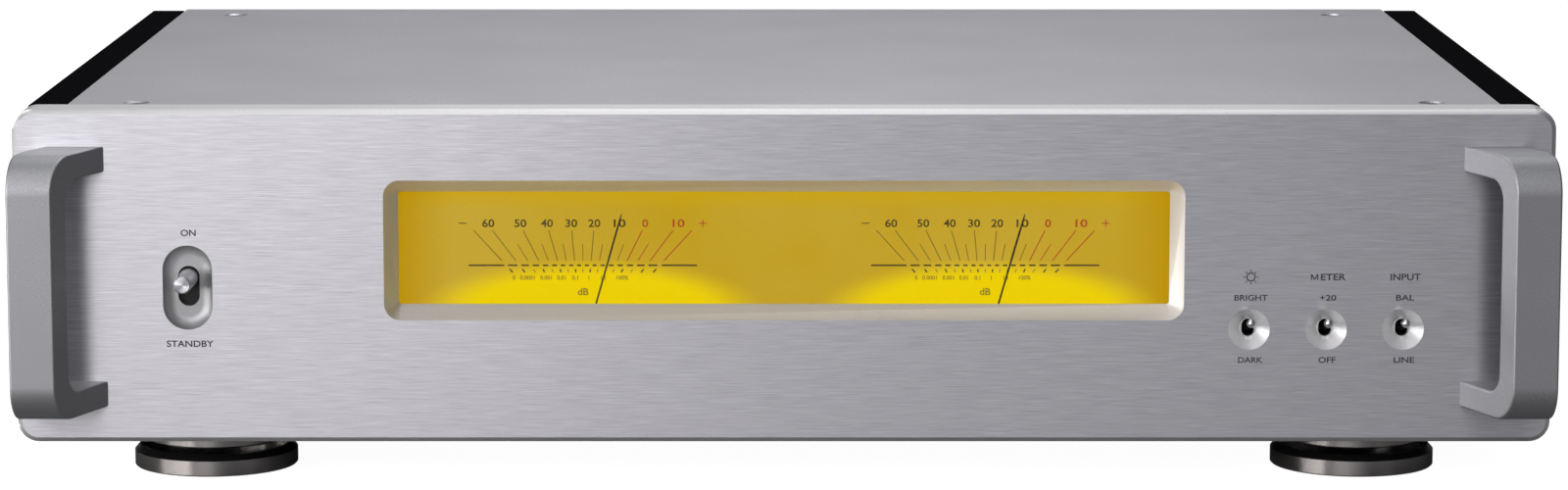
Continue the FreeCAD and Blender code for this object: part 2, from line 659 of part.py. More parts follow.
def make_cover():
    cover = body("top_cover", (0, 0, COVER_UNDER))
    flat = sketch(cover, "XY_Plane")
    rectangle(flat, (-D.cover_half, D.cover_half), (PANEL_REAR + D.cover_gap, D.cover_rear))
    pad(cover, flat, D.cover_thick)
    dress(cover, "Chamfer", D.cover_edge, lambda middle, edge: near(middle.z, D.cover_thick)
          and (near(abs(middle.x), D.cover_half) or near(middle.y, D.cover_rear)))
    spots = sketch(cover, "XY_Plane", D.cover_thick)
    for x in (-D.cover_screw_x, D.cover_screw_x):
        for y in (D.cover_screw_front, D.cover_screw_rear):
            circle(spots, x, y, D.screw_shank + 0.2)
    pocket(cover, spots, D.cover_thick)
    dress(cover, "Chamfer", D.screw_recess - D.screw_shank - 0.2,
          lambda middle, edge: near(middle.z, D.cover_thick)
          and near(edge.Length, 2 * math.pi * (D.screw_shank + 0.2)))

    screws = []
    for x in (-D.cover_screw_x, D.cover_screw_x):
        for y in (D.cover_screw_front, D.cover_screw_rear):
            shank = post(D.screw_shank, x, y, (COVER_UNDER - 6, D.cover_top - 0.6))
            head = doc.addObject("Part::Cone", "screw_head")
            bind(head, "Radius1", D.screw_shank)
            bind(head, "Radius2", D.screw_recess - 0.6)
            bind(head, "Height", 1.4)
            place(head, (x, y, D.cover_top - 1.8))
            drive = doc.addObject("Part::Prism", "hex_drive")
            drive.Polygon, drive.Circumradius, drive.Height = 6, 1.5, 2
            place(drive, (x, y, D.cover_top - 1.9))
            screws.append(cut(fuse(shank, head), drive))
    keep("cover_screws", group(*screws))

    rails = []
    for side in (-1, 1):
        inner, outer = sorted((side * 182, side * 195.8))
        rail = block((inner, outer), (-129, 150), (COVER_UNDER - 10, COVER_UNDER))
        bores = [post(D.screw_shank + 0.1, side * D.cover_screw_x, y,
                      (COVER_UNDER - 7, COVER_UNDER + 1))
                 for y in (D.cover_screw_front, D.cover_screw_rear)]
        rails.append(cut(rail, *bores))
    keep("cover_rails", group(*rails))


def make_subpanel():
    plate = block((-D.side_in + 0.3, D.side_in - 0.3), (PANEL_REAR, PANEL_REAR + 1.5),
                  (PLATE_TOP, 97.5))
    holes = [rod(D.movement_radius + 0.3, x, D.pivot_z, (PANEL_REAR - 1, PANEL_REAR + 3))
             for x in PIVOTS.values()]
    holes += [block((x - 5.3, x + 5.3), (PANEL_REAR - 1, PANEL_REAR + 3),
                    (D.toggle_z - 6.8, D.toggle_z + 6.8)) for x in TOGGLES.values()]
    holes.append(block((D.power_x - 7.3, D.power_x + 7.3), (PANEL_REAR - 1, PANEL_REAR + 3),
                       (D.power_z - 13.8, D.power_z + 13.8)))
    keep("front_subpanel", cut(plate, *holes))


# ---------------------------------------------------------------- feet

def make_feet():
    rings = []
    for name, (x, y) in FEET.items():
        turned(f"foot_dish_{name}", (
            (0, 0), (D.dish_radius - 0.4, 0), (D.dish_radius, 0.4), (D.dish_radius, D.dish_height),
            (D.ring_bore, D.dish_height), (D.ring_bore, D.dish_floor), (3.2, D.dish_floor),
            (0, 1.2)), (x, y, 0))
        turned(f"foot_spike_{name}", (
            (0, D.spike_tip), (1.6, D.spike_tip + 1.2), (11, D.spike_bottom),
            (D.spike_radius - 0.5, D.spike_bottom), (D.spike_radius, D.spike_bottom + 0.5),
            (D.spike_radius, D.chassis_z), (D.foot_bolt + 0.1, D.chassis_z),
            (D.foot_bolt + 0.1, D.spike_bottom + 2), (0, D.spike_bottom + 2)), (x, y, 0))
        ring = doc.addObject("Part::Cone", "ring")
        bind(ring, "Radius1", D.dish_radius)
        bind(ring, "Radius2", D.ring_radius)
        bind(ring, "Height", D.ring_top - D.dish_height)
        place(ring, (x, y, D.dish_height))
        rings.append(cut(ring, post(D.ring_bore, x, y, (D.dish_height - 1, D.ring_top + 1))))
    keep("foot_rings", group(*rings))
    keep("foot_bolts", group(*[
        fuse(post(D.foot_bolt, x, y, (D.spike_bottom + 2.4, PLATE_TOP + 0.5)),
             post(2 * D.foot_bolt, x, y, (PLATE_TOP, PLATE_TOP + 3))) for x, y in FEET.values()]))


# ---------------------------------------------------------------- power supply

def make_power_supply():
    base = PLATE_TOP
    pad_top = base + 2
    disc = post(D.toroid_radius - 2, 0, D.toroid_y, (base, pad_top))
    keep("transformer_pad", cut(disc, post(5, 0, D.toroid_y, (base - 1, pad_top + 1))))
    low, high, soft = pad_top, pad_top + D.toroid_height, 14
    turned("transformer_windings", (
        (D.toroid_hole, low + 6), (D.toroid_hole + 6, low), (D.toroid_radius - soft, low),
        (D.toroid_radius - 4, low + 4), (D.toroid_radius, low + soft),
        (D.toroid_radius, high - soft), (D.toroid_radius - 4, high - 4),
        (D.toroid_radius - soft, high), (D.toroid_hole + 6, high), (D.toroid_hole, high - 6)),
        (0, D.toroid_y, 0))
    turned("transformer_clamp", (
        (4.2, high - 2), (22, high - 2), (30, high), (46, high), (46, high + 1.5),
        (29, high + 1.5), (21, high - 0.5), (4.2, high - 0.5)), (0, D.toroid_y, 0))
    bolt = post(4, 0, D.toroid_y, (base, high + 4))
    nut = doc.addObject("Part::Prism", "nut")
    nut.Polygon, nut.Circumradius, nut.Height = 6, 7.5, 5
    place(nut, (0, D.toroid_y, high - 0.5))
    keep("transformer_bolt", fuse(bolt, nut))

    board_z = base + 5
    board = block((-115, 115), (28, 92), (board_z, board_z + D.board_thick))
    feet = [post(3, x, y, (base, board_z + 0.2)) for x in (-110, 110) for y in (33, 87)]
    keep("supply_board", fuse(board, *feet))
    keep("supply_capacitors", group(*[
        post(D.capacitor_radius, step * D.capacitor_x, D.capacitor_y,
             (board_z + D.board_thick, board_z + D.board_thick + D.capacitor_height))
        for step in (-3, -1, 1, 3)]))
    rectifier = block((-150, -122), (10, 38), (base, base + 10))
    keep("bridge_rectifier", cut(rectifier, post(2.5, -136, 24, (base - 1, base + 11))))


def make_amplifier(name, side):
    """One channel: an upright board beside its heat sink, with supply parts soldered on."""
    sides = sorted((side * number(D.board_x), side * (number(D.board_x) + SIZES["board_thick"])))
    board = block(sides, (D.board_front, D.board_rear), (D.board_bottom, D.board_top))
    cans = []
    for y in range(-80, 110, 36):
        can = doc.addObject("Part::Cylinder", "can")
        can.Radius, can.Height = 5, 12
        place(can, (side * (D.board_x + 0.5), y, 62), Rotation(Vector(0, 1, 0), -side * QUARTER))
        cans.append(can)
    keep(f"amplifier_board_{name}", fuse(board, *cans))


def make_transistors():
    bodies = []
    for side in (-1, 1):
        for step in range(-2, 3):
            y = step * D.transistor_pitch + 10
            flat = sorted((side * 191, side * 195.9))
            leads = sorted((side * number(D.board_x + D.board_thick), side * 191.5))
            case = block(flat, (y - 8, y + 8), (45, 66))
            pins = [block(leads, (y + shift - 0.5, y + shift + 0.5), (46, 46.6))
                    for shift in (-5.4, 0, 5.4)]
            bodies.append(fuse(case, *pins))
    keep("output_transistors", group(*bodies))


# ---------------------------------------------------------------- rear panel and sockets

BALANCED_XS = {"right": D.balanced_x, "left": D.balanced_x - D.socket_pitch}
LATCH_RISE = 14.2


def make_rear_panel():
    through = (D.rear_y - 1, REAR_FACE + 1)
    plate = block((-D.side_in + 0.3, D.side_in - 0.3), (D.rear_y, REAR_FACE),
                  (PLATE_TOP - 2.3, COVER_UNDER))
    holes = []
    for x in BALANCED_XS.values():
        holes.append(rod(D.shell_radius + 0.15, x, D.balanced_z, through))
        holes.append(block((x - 4.6, x + 4.6), through,
                           (D.balanced_z + LATCH_RISE - 2.1, D.balanced_z + LATCH_RISE + 2.1)))
        holes.append(rod(D.line_radius + 0.9, x, D.line_z, through))
    holes += [rod(5.2, x, D.terminal_z, through) for x in TERMINALS.values()]
    holes += [rod(3.2, D.trigger_x, D.trigger_z + step * D.trigger_pitch, through)
              for step in (0, 1)]
    holes.append(block((D.inlet_x - D.inlet_width / 2 - 0.2, D.inlet_x + D.inlet_width / 2 + 0.2),
                       through,
                       (D.inlet_z - D.inlet_height / 2 - 0.2,
                        D.inlet_z + D.inlet_height / 2 + 0.2)))
    holes += [rod(1.6, x, z, through) for x, z in REAR_SCREWS]
    holes += [rod(1.6, x, D.inlet_z, through) for x in (D.inlet_x - 20, D.inlet_x + 20)]
    keep("rear_panel", cut(plate, *holes))

    screws = [fuse(rod(1.5, x, z, (REAR_FACE - 6.6, REAR_FACE + 0.5)),
                   rod(3, x, z, (REAR_FACE, REAR_FACE + 1.7))) for x, z in REAR_SCREWS[:4]]
    screws += [fuse(rod(1.5, x, z, (REAR_FACE - 2.5, REAR_FACE + 0.5)),
                    rod(3, x, z, (REAR_FACE, REAR_FACE + 1.7))) for x, z in REAR_SCREWS[4:]]
    screws += [fuse(rod(1.5, x, D.inlet_z, (REAR_FACE - 6, REAR_FACE + 3)),
                    rod(2.8, x, D.inlet_z, (REAR_FACE + 2.5, REAR_FACE + 4)))
               for x in (D.inlet_x - 20, D.inlet_x + 20)]
    keep("rear_screws", group(*screws))


def make_sockets():
    sockets, jacks = [], []
    for name, x in BALANCED_XS.items():
        flange = block((x - 13, x + 13), (REAR_FACE, REAR_FACE + 1.6),
                       (D.balanced_z - 15, D.balanced_z + 17))
        shell = rod(D.shell_radius, x, D.balanced_z, (131, REAR_FACE + 2.4))
        groove = cut(rod(D.shell_bore, x, D.balanced_z, (142, REAR_FACE + 3)),
                     rod(D.insert_radius, x, D.balanced_z, (141, REAR_FACE + 1.4)))
        contacts = [rod(1.2, x + reach * math.cos(math.radians(turn)),
                        D.balanced_z + reach * math.sin(math.radians(turn)),
                        (146, REAR_FACE + 3))
                    for turn, reach in ((150, 4.1), (30, 4.1), (270, 4.1))]
        window = block((x - 4.4, x + 4.4), (REAR_FACE - 1, REAR_FACE + 3),
                       (D.balanced_z + LATCH_RISE - 1.9, D.balanced_z + LATCH_RISE + 1.9))
        sockets.append(cut(fuse(flange, shell), groove, window, *contacts))
        button = block((x - 4, x + 4), (REAR_FACE - 1.5, REAR_FACE + 3.2),
                       (D.balanced_z + LATCH_RISE - 1.5, D.balanced_z + LATCH_RISE + 1.5))
        keep(f"input_latch_{name}", button)
        barrel = fuse(rod(D.line_radius, x, D.line_z, (135, REAR_FACE + 10)),
                      rod(6.2, x, D.line_z, (REAR_FACE, REAR_FACE + 2.2)))
        jacks.append(cut(barrel, rod(1.6, x, D.line_z, (REAR_FACE - 2, REAR_FACE + 11))))
    keep("balanced_inputs", group(*sockets))
    keep("line_inputs", group(*jacks))
    board = block((95, 172), (128, 128 + D.board_thick), (28, 92))
    keep("input_board", board)

    triggers = []
    for step in (0, 1):
        z = D.trigger_z + step * D.trigger_pitch
        barrel = fuse(rod(3, D.trigger_x, z, (D.rear_y - 14, REAR_FACE + 2)),
                      rod(4.2, D.trigger_x, z, (REAR_FACE, REAR_FACE + 1.4)))
        triggers.append(cut(barrel, rod(D.jack_radius, D.trigger_x, z,
                                        (REAR_FACE - 10, REAR_FACE + 3))))
    keep("trigger_sockets", group(*triggers))


def make_speaker_terminals():
    posts = []
    for name, x in TERMINALS.items():
        metal = fuse(rod(5, x, D.terminal_z, (140, REAR_FACE + 1)),
                     rod(8.6, x, D.terminal_z, (REAR_FACE, REAR_FACE + 4.5)),
                     rod(D.post_radius, x, D.terminal_z, (150, D.post_tip)))
        posts.append(cut(metal, rod(D.banana_radius, x, D.terminal_z,
                                    (D.post_tip - 16, D.post_tip + 1))))
        cap = body(f"speaker_cap_{name}", (x, D.cap_front, D.terminal_z), BACKWARDS)
        ring = sketch(cap, "XY_Plane")
        circle(ring, 0, 0, D.cap_radius)
        circle(ring, 0, 0, D.post_radius + D.cap_play)
        pad(cap, ring, D.cap_rear - D.cap_front)
        dress(cap, "Chamfer", 0.8, lambda middle, edge: edge.Length > 40)
        flute = sketch(cap, "XY_Plane")
        circle(flute, D.cap_radius + 0.7, 0, 1.3)
        flute_cut = pocket(cap, flute, D.cap_rear - D.cap_front, back=True)
        flutes = cap.newObject("PartDesign::PolarPattern", f"{name}_flutes")
        flutes.Originals = [flute_cut]
        flutes.Axis = (flute, ["N_Axis"])
        flutes.Angle, flutes.Occurrences = 4 * QUARTER, 16
        cap.Tip = flutes
        doc.recompute()
    keep("speaker_posts", group(*posts))


def make_mains_inlet():
    x, z, face = D.inlet_x, D.inlet_z, REAR_FACE + 2.5
    flange = block((x - 24.5, x + 24.5), (REAR_FACE, face), (z - 13.5, z + 13.5))
    shell = block((x - D.inlet_width / 2, x + D.inlet_width / 2), (face - 24, face),
                  (z - D.inlet_height / 2, z + D.inlet_height / 2))
    cavity = block((x - D.inlet_cavity_width / 2, x + D.inlet_cavity_width / 2),
                   (face - D.inlet_depth, face + 1),
                   (z - D.inlet_cavity_height / 2, z + D.inlet_cavity_height / 2))
    ears = [rod(1.7, x + side * 20, z, (REAR_FACE - 1, face + 1)) for side in (-1, 1)]
    keep("mains_inlet", cut(fuse(flange, shell), cavity, *ears))
    keep("inlet_pins", group(*[
        block((x + shift - 1, x + shift + 1), (face - D.inlet_depth, face - 5.5),
              (z + rise - 2, z + rise + 2))
        for shift, rise in ((-7, 2), (0, -2), (7, 2))]))


def tube(label, radius, spots, bend):
    """A round lead along straight runs joined by tangent arcs of one radius."""
    points = [Vector(*spot) for spot in spots]
    pieces, start = [], points[0]
    for before, corner, after in zip(points, points[1:], points[2:]):
        inward, outward = (before - corner).normalize(), (after - corner).normalize()
        reach = bend / math.tan(inward.getAngle(outward) / 2)
        first, last = corner + inward * reach, corner + outward * reach
        middle_way = (inward + outward).normalize()
        depth = math.hypot(bend, reach) - bend
        pieces += [Part.LineSegment(start, first).toShape(),
                   Part.Arc(first, corner + middle_way * depth, last).toShape()]
        start = last
    pieces.append(Part.LineSegment(start, points[-1]).toShape())
    path = Part.Wire(pieces)
    section = Part.Wire(Part.Circle(points[0], points[1] - points[0], radius).toShape())
    thing = keep(label, doc.addObject("Part::Feature", label))
    thing.Shape = path.makePipeShell([section], True, False)
    assert abs(thing.Shape.Volume / (math.pi * radius ** 2 * path.Length) - 1) < 0.02, label


def make_mains_lead():
    """Lead from the mains inlet along the left side to the back of the power switch."""
    x, z = SIZES["inlet_x"], SIZES["inlet_z"]
    inlet_back, switch_back = 133.3, -109.2
    switch_x, switch_z = SIZES["power_x"], SIZES["power_z"]
    tube("mains_lead", 3, ((x, inlet_back, z), (x, 112, z), (x - 24, 92, 24), (x - 24, -78, 24),
                           (switch_x, -96, switch_z), (switch_x, switch_back, switch_z)), 7)


# ---------------------------------------------------------------- build, check, export

make_front_panel()
make_handle("left", -1)
make_handle("right", 1)
make_handle_bolts()
make_meters()
make_power_switch()
make_toggles()
make_switch_board()
make_subpanel()
make_bottom_plate()
make_bottom_screws()
make_heatsink("right", 0)
make_heatsink("left", 2 * QUARTER)
make_cover()
make_feet()
make_power_supply()
make_amplifier("left", -1)
make_amplifier("right", 1)
make_transistors()
make_rear_panel()
make_sockets()
make_speaker_terminals()
make_mains_inlet()
make_mains_lead()
doc.recompute()

failed = [item.Name for item in doc.Objects if {"Invalid", "Error"} & set(item.State)]
assert not failed, f"failed features: {failed}"
for node in NODES:
    assert not node.Shape.isNull() and node.Shape.isValid(), f"{node.Label} has no valid shape"
assert len({node.Label for node in NODES}) == len(NODES) <= 60

os.makedirs("parts", exist_ok=True)
for node in NODES:
    node.Shape.exportStep(f"parts/{node.Label}.step")
    box = node.Shape.BoundBox
    print(f"{node.Label:24s} solids {len(node.Shape.Solids):2d}  volume {node.Shape.Volume:10.1f}  "
          f"x {box.XMin:7.1f} {box.XMax:7.1f}  y {box.YMin:7.1f} {box.YMax:7.1f}  "
          f"z {box.ZMin:6.1f} {box.ZMax:6.1f}")
print(len(NODES), "sub-parts")
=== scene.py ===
# %% [markdown]
# # A stereo power amplifier
# The frame comes from CAD: every panel, screw and lever is already there at its true size, in
# metres, with the floor at z = 0 and the front facing -Y. This lesson gives each of them its
# finish, and models the small things that CAD left plain: printing, dials, sockets and lamps.
# Nothing from the frame is moved, so the lesson starts by loading it and noting its box.

import json
import math

import bpy
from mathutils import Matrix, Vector


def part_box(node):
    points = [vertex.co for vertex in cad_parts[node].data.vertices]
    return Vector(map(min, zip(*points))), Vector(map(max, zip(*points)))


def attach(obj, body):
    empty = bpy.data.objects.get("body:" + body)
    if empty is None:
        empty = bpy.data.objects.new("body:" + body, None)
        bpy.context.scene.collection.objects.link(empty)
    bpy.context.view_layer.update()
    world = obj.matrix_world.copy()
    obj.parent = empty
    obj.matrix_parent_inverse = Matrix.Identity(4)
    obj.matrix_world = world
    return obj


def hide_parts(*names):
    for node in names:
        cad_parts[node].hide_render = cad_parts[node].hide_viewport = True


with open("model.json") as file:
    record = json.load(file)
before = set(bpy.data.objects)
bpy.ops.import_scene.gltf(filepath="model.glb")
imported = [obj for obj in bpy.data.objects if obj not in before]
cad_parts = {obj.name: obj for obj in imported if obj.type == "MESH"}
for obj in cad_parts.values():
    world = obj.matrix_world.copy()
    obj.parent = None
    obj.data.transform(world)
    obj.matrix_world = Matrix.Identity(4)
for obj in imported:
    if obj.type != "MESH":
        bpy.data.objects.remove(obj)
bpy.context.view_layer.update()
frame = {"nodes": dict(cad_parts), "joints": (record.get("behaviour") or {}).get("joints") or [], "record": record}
MM = 0.001
CHASSIS = "chassis"

# %% [markdown]
# ## Places read from the frame
# Every later piece is put where the CAD parts are. The front of the panel, the plane of the dial
# and the middle of the power switch are read once from the boxes of those parts. The toggles and
# the needles turn about joints, so their places are read from the joints.

# %% Key places
FACE_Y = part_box("front_panel")[0].y
DIAL_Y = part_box("meter_dial")[0].y
JOINTS = {joint["name"]: joint for joint in frame["joints"]}
PIVOTS = {side: Vector(JOINTS[f"needle_{side}_swing"]["pos_m"]) for side in ("left", "right")}
TOGGLE_XS = {name: JOINTS[f"{name}_toggle"]["pos_m"][0]
             for name in ("brightness", "meter", "input")}
TOGGLE_Z = JOINTS["meter_toggle"]["pos_m"][2]
POWER_LOW, POWER_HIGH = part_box("power_switch_body")
POWER_X, POWER_Z = (POWER_LOW.x + POWER_HIGH.x) / 2, (POWER_LOW.z + POWER_HIGH.z) / 2
print("face", FACE_Y, "dial", DIAL_Y, "pivots", PIVOTS)

# %% [markdown]
# ## Handing a piece over
# A finished piece keeps its object at the origin, with its place in its mesh, so that patterns on
# object coordinates stay put. One helper applies the place, names the piece, gives it its finish
# and ties it to the body that it moves with.

# %% Helpers for pieces
def select_only(*pieces):
    bpy.ops.object.select_all(action="DESELECT")
    for piece in pieces:
        piece.select_set(True)
    bpy.context.view_layer.objects.active = pieces[0]


def join(pieces):
    """Joins pieces into the first one and returns it."""
    select_only(*pieces)
    if len(pieces) > 1:
        bpy.ops.object.join()
    return bpy.context.object


def hand_over(piece, name, material, body=CHASSIS, replaces=()):
    select_only(piece)
    bpy.ops.object.transform_apply(location=True, rotation=True, scale=True)
    piece.name = piece.data.name = name
    piece.data.materials.clear()
    piece.data.materials.append(material)
    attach(piece, body)
    if replaces:
        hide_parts(*replaces)
    size = [round(side / MM, 2) for side in piece.dimensions]
    print(name, "faces", len(piece.data.polygons), "size mm", size)
    return piece


# %% [markdown]
# ## Node groups: grain, brushing and handling
# Real metal is never one flat colour. Bead blasting leaves tiny pits, brushing leaves long fine
# lines, and use leaves soft patches. Each effect is built once as a node group with named inputs,
# because several finishes share it. It reads object coordinates, and puts out a tone between 0
# and 1 and, where the effect can be felt, a height for a bump.

# %% Group builder
def new_group(name, inputs, outputs):
    tree = bpy.data.node_groups.new(name, "ShaderNodeTree")
    for label, value in inputs.items():
        socket = tree.interface.new_socket(label, in_out="INPUT", socket_type="NodeSocketFloat")
        socket.default_value = value
    for label in outputs:
        tree.interface.new_socket(label, in_out="OUTPUT", socket_type="NodeSocketFloat")
    start, end = tree.nodes.new("NodeGroupInput"), tree.nodes.new("NodeGroupOutput")
    return tree, start, end


def object_place(tree):
    return tree.nodes.new("ShaderNodeTexCoord").outputs["Object"]


def noise(tree, place, detail=2.0, roughness=0.5):
    node = tree.nodes.new("ShaderNodeTexNoise")
    node.inputs["Detail"].default_value = detail
    node.inputs["Roughness"].default_value = roughness
    tree.links.new(place, node.inputs["Vector"])
    return node


def spread(tree, value, low, high):
    """Stretches the middle of a noise to the whole range from 0 to 1."""
    node = tree.nodes.new("ShaderNodeMapRange")
    node.inputs["From Min"].default_value = low
    node.inputs["From Max"].default_value = high
    tree.links.new(value, node.inputs["Value"])
    return node.outputs["Result"]


# %% [markdown]
# Grain is a fine noise for blasted metal, powder coat and moulded plastic: only its scale
# differs, counted in grains to the metre.

# %% Grain group
def build_grain():
    tree, start, end = new_group("grain", {"Grains": 3000.0}, ("Tone", "Height"))
    speckle = noise(tree, object_place(tree), detail=1.5, roughness=0.6)
    tree.links.new(start.outputs["Grains"], speckle.inputs["Scale"])
    tone = spread(tree, speckle.outputs["Fac"], 0.32, 0.68)
    tree.links.new(tone, end.inputs["Tone"])
    tree.links.new(speckle.outputs["Fac"], end.inputs["Height"])
    return tree


GRAIN = build_grain()
print("group", GRAIN.name)

# %% [markdown]
# Brushing is the same noise, stretched along X by scaling each axis on its own before the
# pattern is read. Two layers, a fine and a long one, keep the lines from looking ruled.

# %% Brush group
def build_brush():
    tree, start, end = new_group("brush", {"Along": 45.0, "Across": 2600.0}, ("Tone", "Height"))
    place = object_place(tree)
    layers = []
    for share in (1.0, 0.55):
        across = tree.nodes.new("ShaderNodeMath")
        across.operation = "MULTIPLY"
        across.inputs[1].default_value = share
        tree.links.new(start.outputs["Across"], across.inputs[0])
        scale = tree.nodes.new("ShaderNodeCombineXYZ")
        tree.links.new(start.outputs["Along"], scale.inputs["X"])
        for axis in "YZ":
            tree.links.new(across.outputs["Value"], scale.inputs[axis])
        stretched = tree.nodes.new("ShaderNodeVectorMath")
        stretched.operation = "MULTIPLY"
        tree.links.new(place, stretched.inputs[0])
        tree.links.new(scale.outputs["Vector"], stretched.inputs[1])
        layer = noise(tree, stretched.outputs["Vector"], detail=3.0, roughness=0.65)
        layer.inputs["Scale"].default_value = 1.0
        layers.append(layer.outputs["Fac"])
    mixed = tree.nodes.new("ShaderNodeMath")
    mixed.operation = "ADD"
    for index, layer in enumerate(layers):
        tree.links.new(layer, mixed.inputs[index])
    tone = spread(tree, mixed.outputs["Value"], 0.70, 1.30)
    tree.links.new(tone, end.inputs["Tone"])
    tree.links.new(tone, end.inputs["Height"])
    return tree


BRUSH = build_brush()
print("group", BRUSH.name)

# %% [markdown]
# Handling is a slow, soft noise for finger marks and patches of dust, a few centimetres across.

# %% Handling group
def build_handling():
    tree, start, end = new_group("handling", {"Patches": 30.0}, ("Tone",))
    cloud = noise(tree, object_place(tree), detail=4.0, roughness=0.55)
    tree.links.new(start.outputs["Patches"], cloud.inputs["Scale"])
    tree.links.new(spread(tree, cloud.outputs["Fac"], 0.35, 0.65), end.inputs["Tone"])
    return tree


HANDLING = build_handling()
print("group", HANDLING.name)

# %% [markdown]
# ## A finish from its parts
# Most finishes differ only in colour, gloss and how strong their grain is. The helper makes a
# material with one shader, lets the grain and the handling vary its colour and roughness a
# little, and feeds the grain's height to a bump. Plain numbers stay on the shader itself.

# %% Finish helpers
HANDLED_DARKER = 1 / 6
HANDLED_GLOSS = 0.02


def blank_material(name):
    material = bpy.data.materials.new(name)
    material.use_nodes = True
    return material, material.node_tree, material.node_tree.nodes["Principled BSDF"]


def use_group(tree, group, **values):
    node = tree.nodes.new("ShaderNodeGroup")
    node.node_tree = group
    for label, value in values.items():
        node.inputs[label].default_value = value
    return node


def between(tree, factor, low, high):
    """A number that follows a tone from low to high."""
    node = tree.nodes.new("ShaderNodeMapRange")
    node.inputs["To Min"].default_value = low
    node.inputs["To Max"].default_value = high
    tree.links.new(factor, node.inputs["Value"])
    return node.outputs["Result"]


def blend_colours(tree, factor, first, second):
    """A colour between two others, each a colour or another node's output."""
    node = tree.nodes.new("ShaderNodeMix")
    node.data_type = "RGBA"
    tree.links.new(factor, node.inputs["Factor"])
    for label, colour in (("A", first), ("B", second)):
        socket = next(item for item in node.inputs if item.name == label and item.type == "RGBA")
        if isinstance(colour, bpy.types.NodeSocket):
            tree.links.new(colour, socket)
        else:
            socket.default_value = (*colour, 1)
    return next(item for item in node.outputs if item.type == "RGBA")


def shaded(colour, share):
    return tuple(channel * share for channel in colour)


def add_bump(tree, shader, height, depth):
    node = tree.nodes.new("ShaderNodeBump")
    node.inputs["Strength"].default_value = 1.0
    node.inputs["Distance"].default_value = depth
    tree.links.new(height, node.inputs["Height"])
    tree.links.new(node.outputs["Normal"], shader.inputs["Normal"])


def finish(name, colour, roughness, metallic=0.0, grains=2500.0, depth=0.01 * MM, vary=0.08,
           patches=25.0, specular=0.5):
    material, tree, shader = blank_material(name)
    grain = use_group(tree, GRAIN, Grains=grains)
    handling = use_group(tree, HANDLING, Patches=patches)
    speckled = blend_colours(tree, grain.outputs["Tone"], shaded(colour, 1 - vary),
                             shaded(colour, 1 + vary))
    worn = blend_colours(tree, handling.outputs["Tone"],
                         shaded(colour, 1 - vary * HANDLED_DARKER), speckled)
    tree.links.new(worn, shader.inputs["Base Color"])
    gloss = between(tree, handling.outputs["Tone"], roughness * (1 - HANDLED_GLOSS),
                    roughness * (1 + HANDLED_GLOSS))
    tree.links.new(gloss, shader.inputs["Roughness"])
    shader.inputs["Metallic"].default_value = metallic
    shader.inputs["Specular IOR Level"].default_value = specular
    add_bump(tree, shader, grain.outputs["Height"], depth)
    return material


# %% [markdown]
# ## Numbers inside a material
# Some finishes change from place to place: the glow of the dial, the rings on the lever. Math
# nodes can work such numbers out, one node to each sum, which is long to write. Short helpers
# make one sum, a distance in a plane, a step from 0 to 1, and the three parts of a place.

# %% Number helpers
def combine(tree, operation, first, second=None, number=None):
    node = tree.nodes.new("ShaderNodeMath")
    node.operation = operation
    tree.links.new(first, node.inputs[0])
    if second is not None:
        tree.links.new(second, node.inputs[1])
    if number is not None:
        node.inputs[1].default_value = number
    return node.outputs["Value"]


def distance(tree, aside, above):
    """How far a place is from a middle, in the plane of two axes."""
    return combine(tree, "SQRT", combine(tree, "ADD", combine(tree, "MULTIPLY", aside, aside),
                                         combine(tree, "MULTIPLY", above, above)))


def step_beyond(tree, value, edge, width):
    """0 below an edge and 1 above it, over a narrow width."""
    node = tree.nodes.new("ShaderNodeMapRange")
    node.inputs["From Min"].default_value = edge
    node.inputs["From Max"].default_value = edge + width
    tree.links.new(value, node.inputs["Value"])
    return node.outputs["Result"]


def place_axes(tree):
    node = tree.nodes.new("ShaderNodeSeparateXYZ")
    tree.links.new(object_place(tree), node.inputs["Vector"])
    return node.outputs


# %% [markdown]
# ## Front panel
# The panel is a slab of aluminium brushed along its length. Brushing is done first, so whatever
# was cut into the slab afterwards is bead blasted: the window's bevel and the bowls around the
# switches. Brushed metal mirrors the room sharply in one direction and smears it in the other,
# which is what the shader's anisotropy does; its rotation says which way. Blasted metal smears
# the room evenly, so it is a plain finish. The bowl of the power switch gets a darker copy of it,
# which is painted shade for that deep recess.

# %% Brushed material
BRUSH_DARK, BRUSH_LIGHT = (0.58, 0.575, 0.60), (0.88, 0.875, 0.90)
BLAST_GRAINS, BLAST_DEPTH = 3200, 0.012 * MM


def brushed_panel():
    material, tree, shader = blank_material("brushed_aluminium")
    brush = use_group(tree, BRUSH, Along=90.0, Across=6500.0)
    brushed = blend_colours(tree, brush.outputs["Tone"], BRUSH_DARK, BRUSH_LIGHT)
    tree.links.new(brushed, shader.inputs["Base Color"])
    tree.links.new(between(tree, brush.outputs["Tone"], 0.32, 0.28), shader.inputs["Roughness"])
    shader.inputs["Metallic"].default_value = 1.0
    shader.inputs["Anisotropic"].default_value = 0.85
    shader.inputs["Anisotropic Rotation"].default_value = 0.25
    add_bump(tree, shader, brush.outputs["Height"], 0.003 * MM)
    return material


BRUSHED = brushed_panel()
BLASTED = finish("blasted_aluminium", (0.84, 0.84, 0.84), 0.48, 1.0, BLAST_GRAINS, BLAST_DEPTH)
# A darker, rougher copy of the blasted finish: painted shade in the recessed bowl of the power switch.
SHADED_POWER_BOWL = finish("blasted_bowl", (0.52, 0.525, 0.53), 0.56, 1.0, BLAST_GRAINS, BLAST_DEPTH)
print("materials", BRUSHED.name, BLASTED.name, SHADED_POWER_BOWL.name)

# %% [markdown]
# The panel keeps its CAD shape. A copy of it takes its place, because a copy may carry three
# materials: its points are merged first, and then each face that lies behind the front plane is
# given a blasted finish. Faces that look straight along an axis are flat and are shaded so.

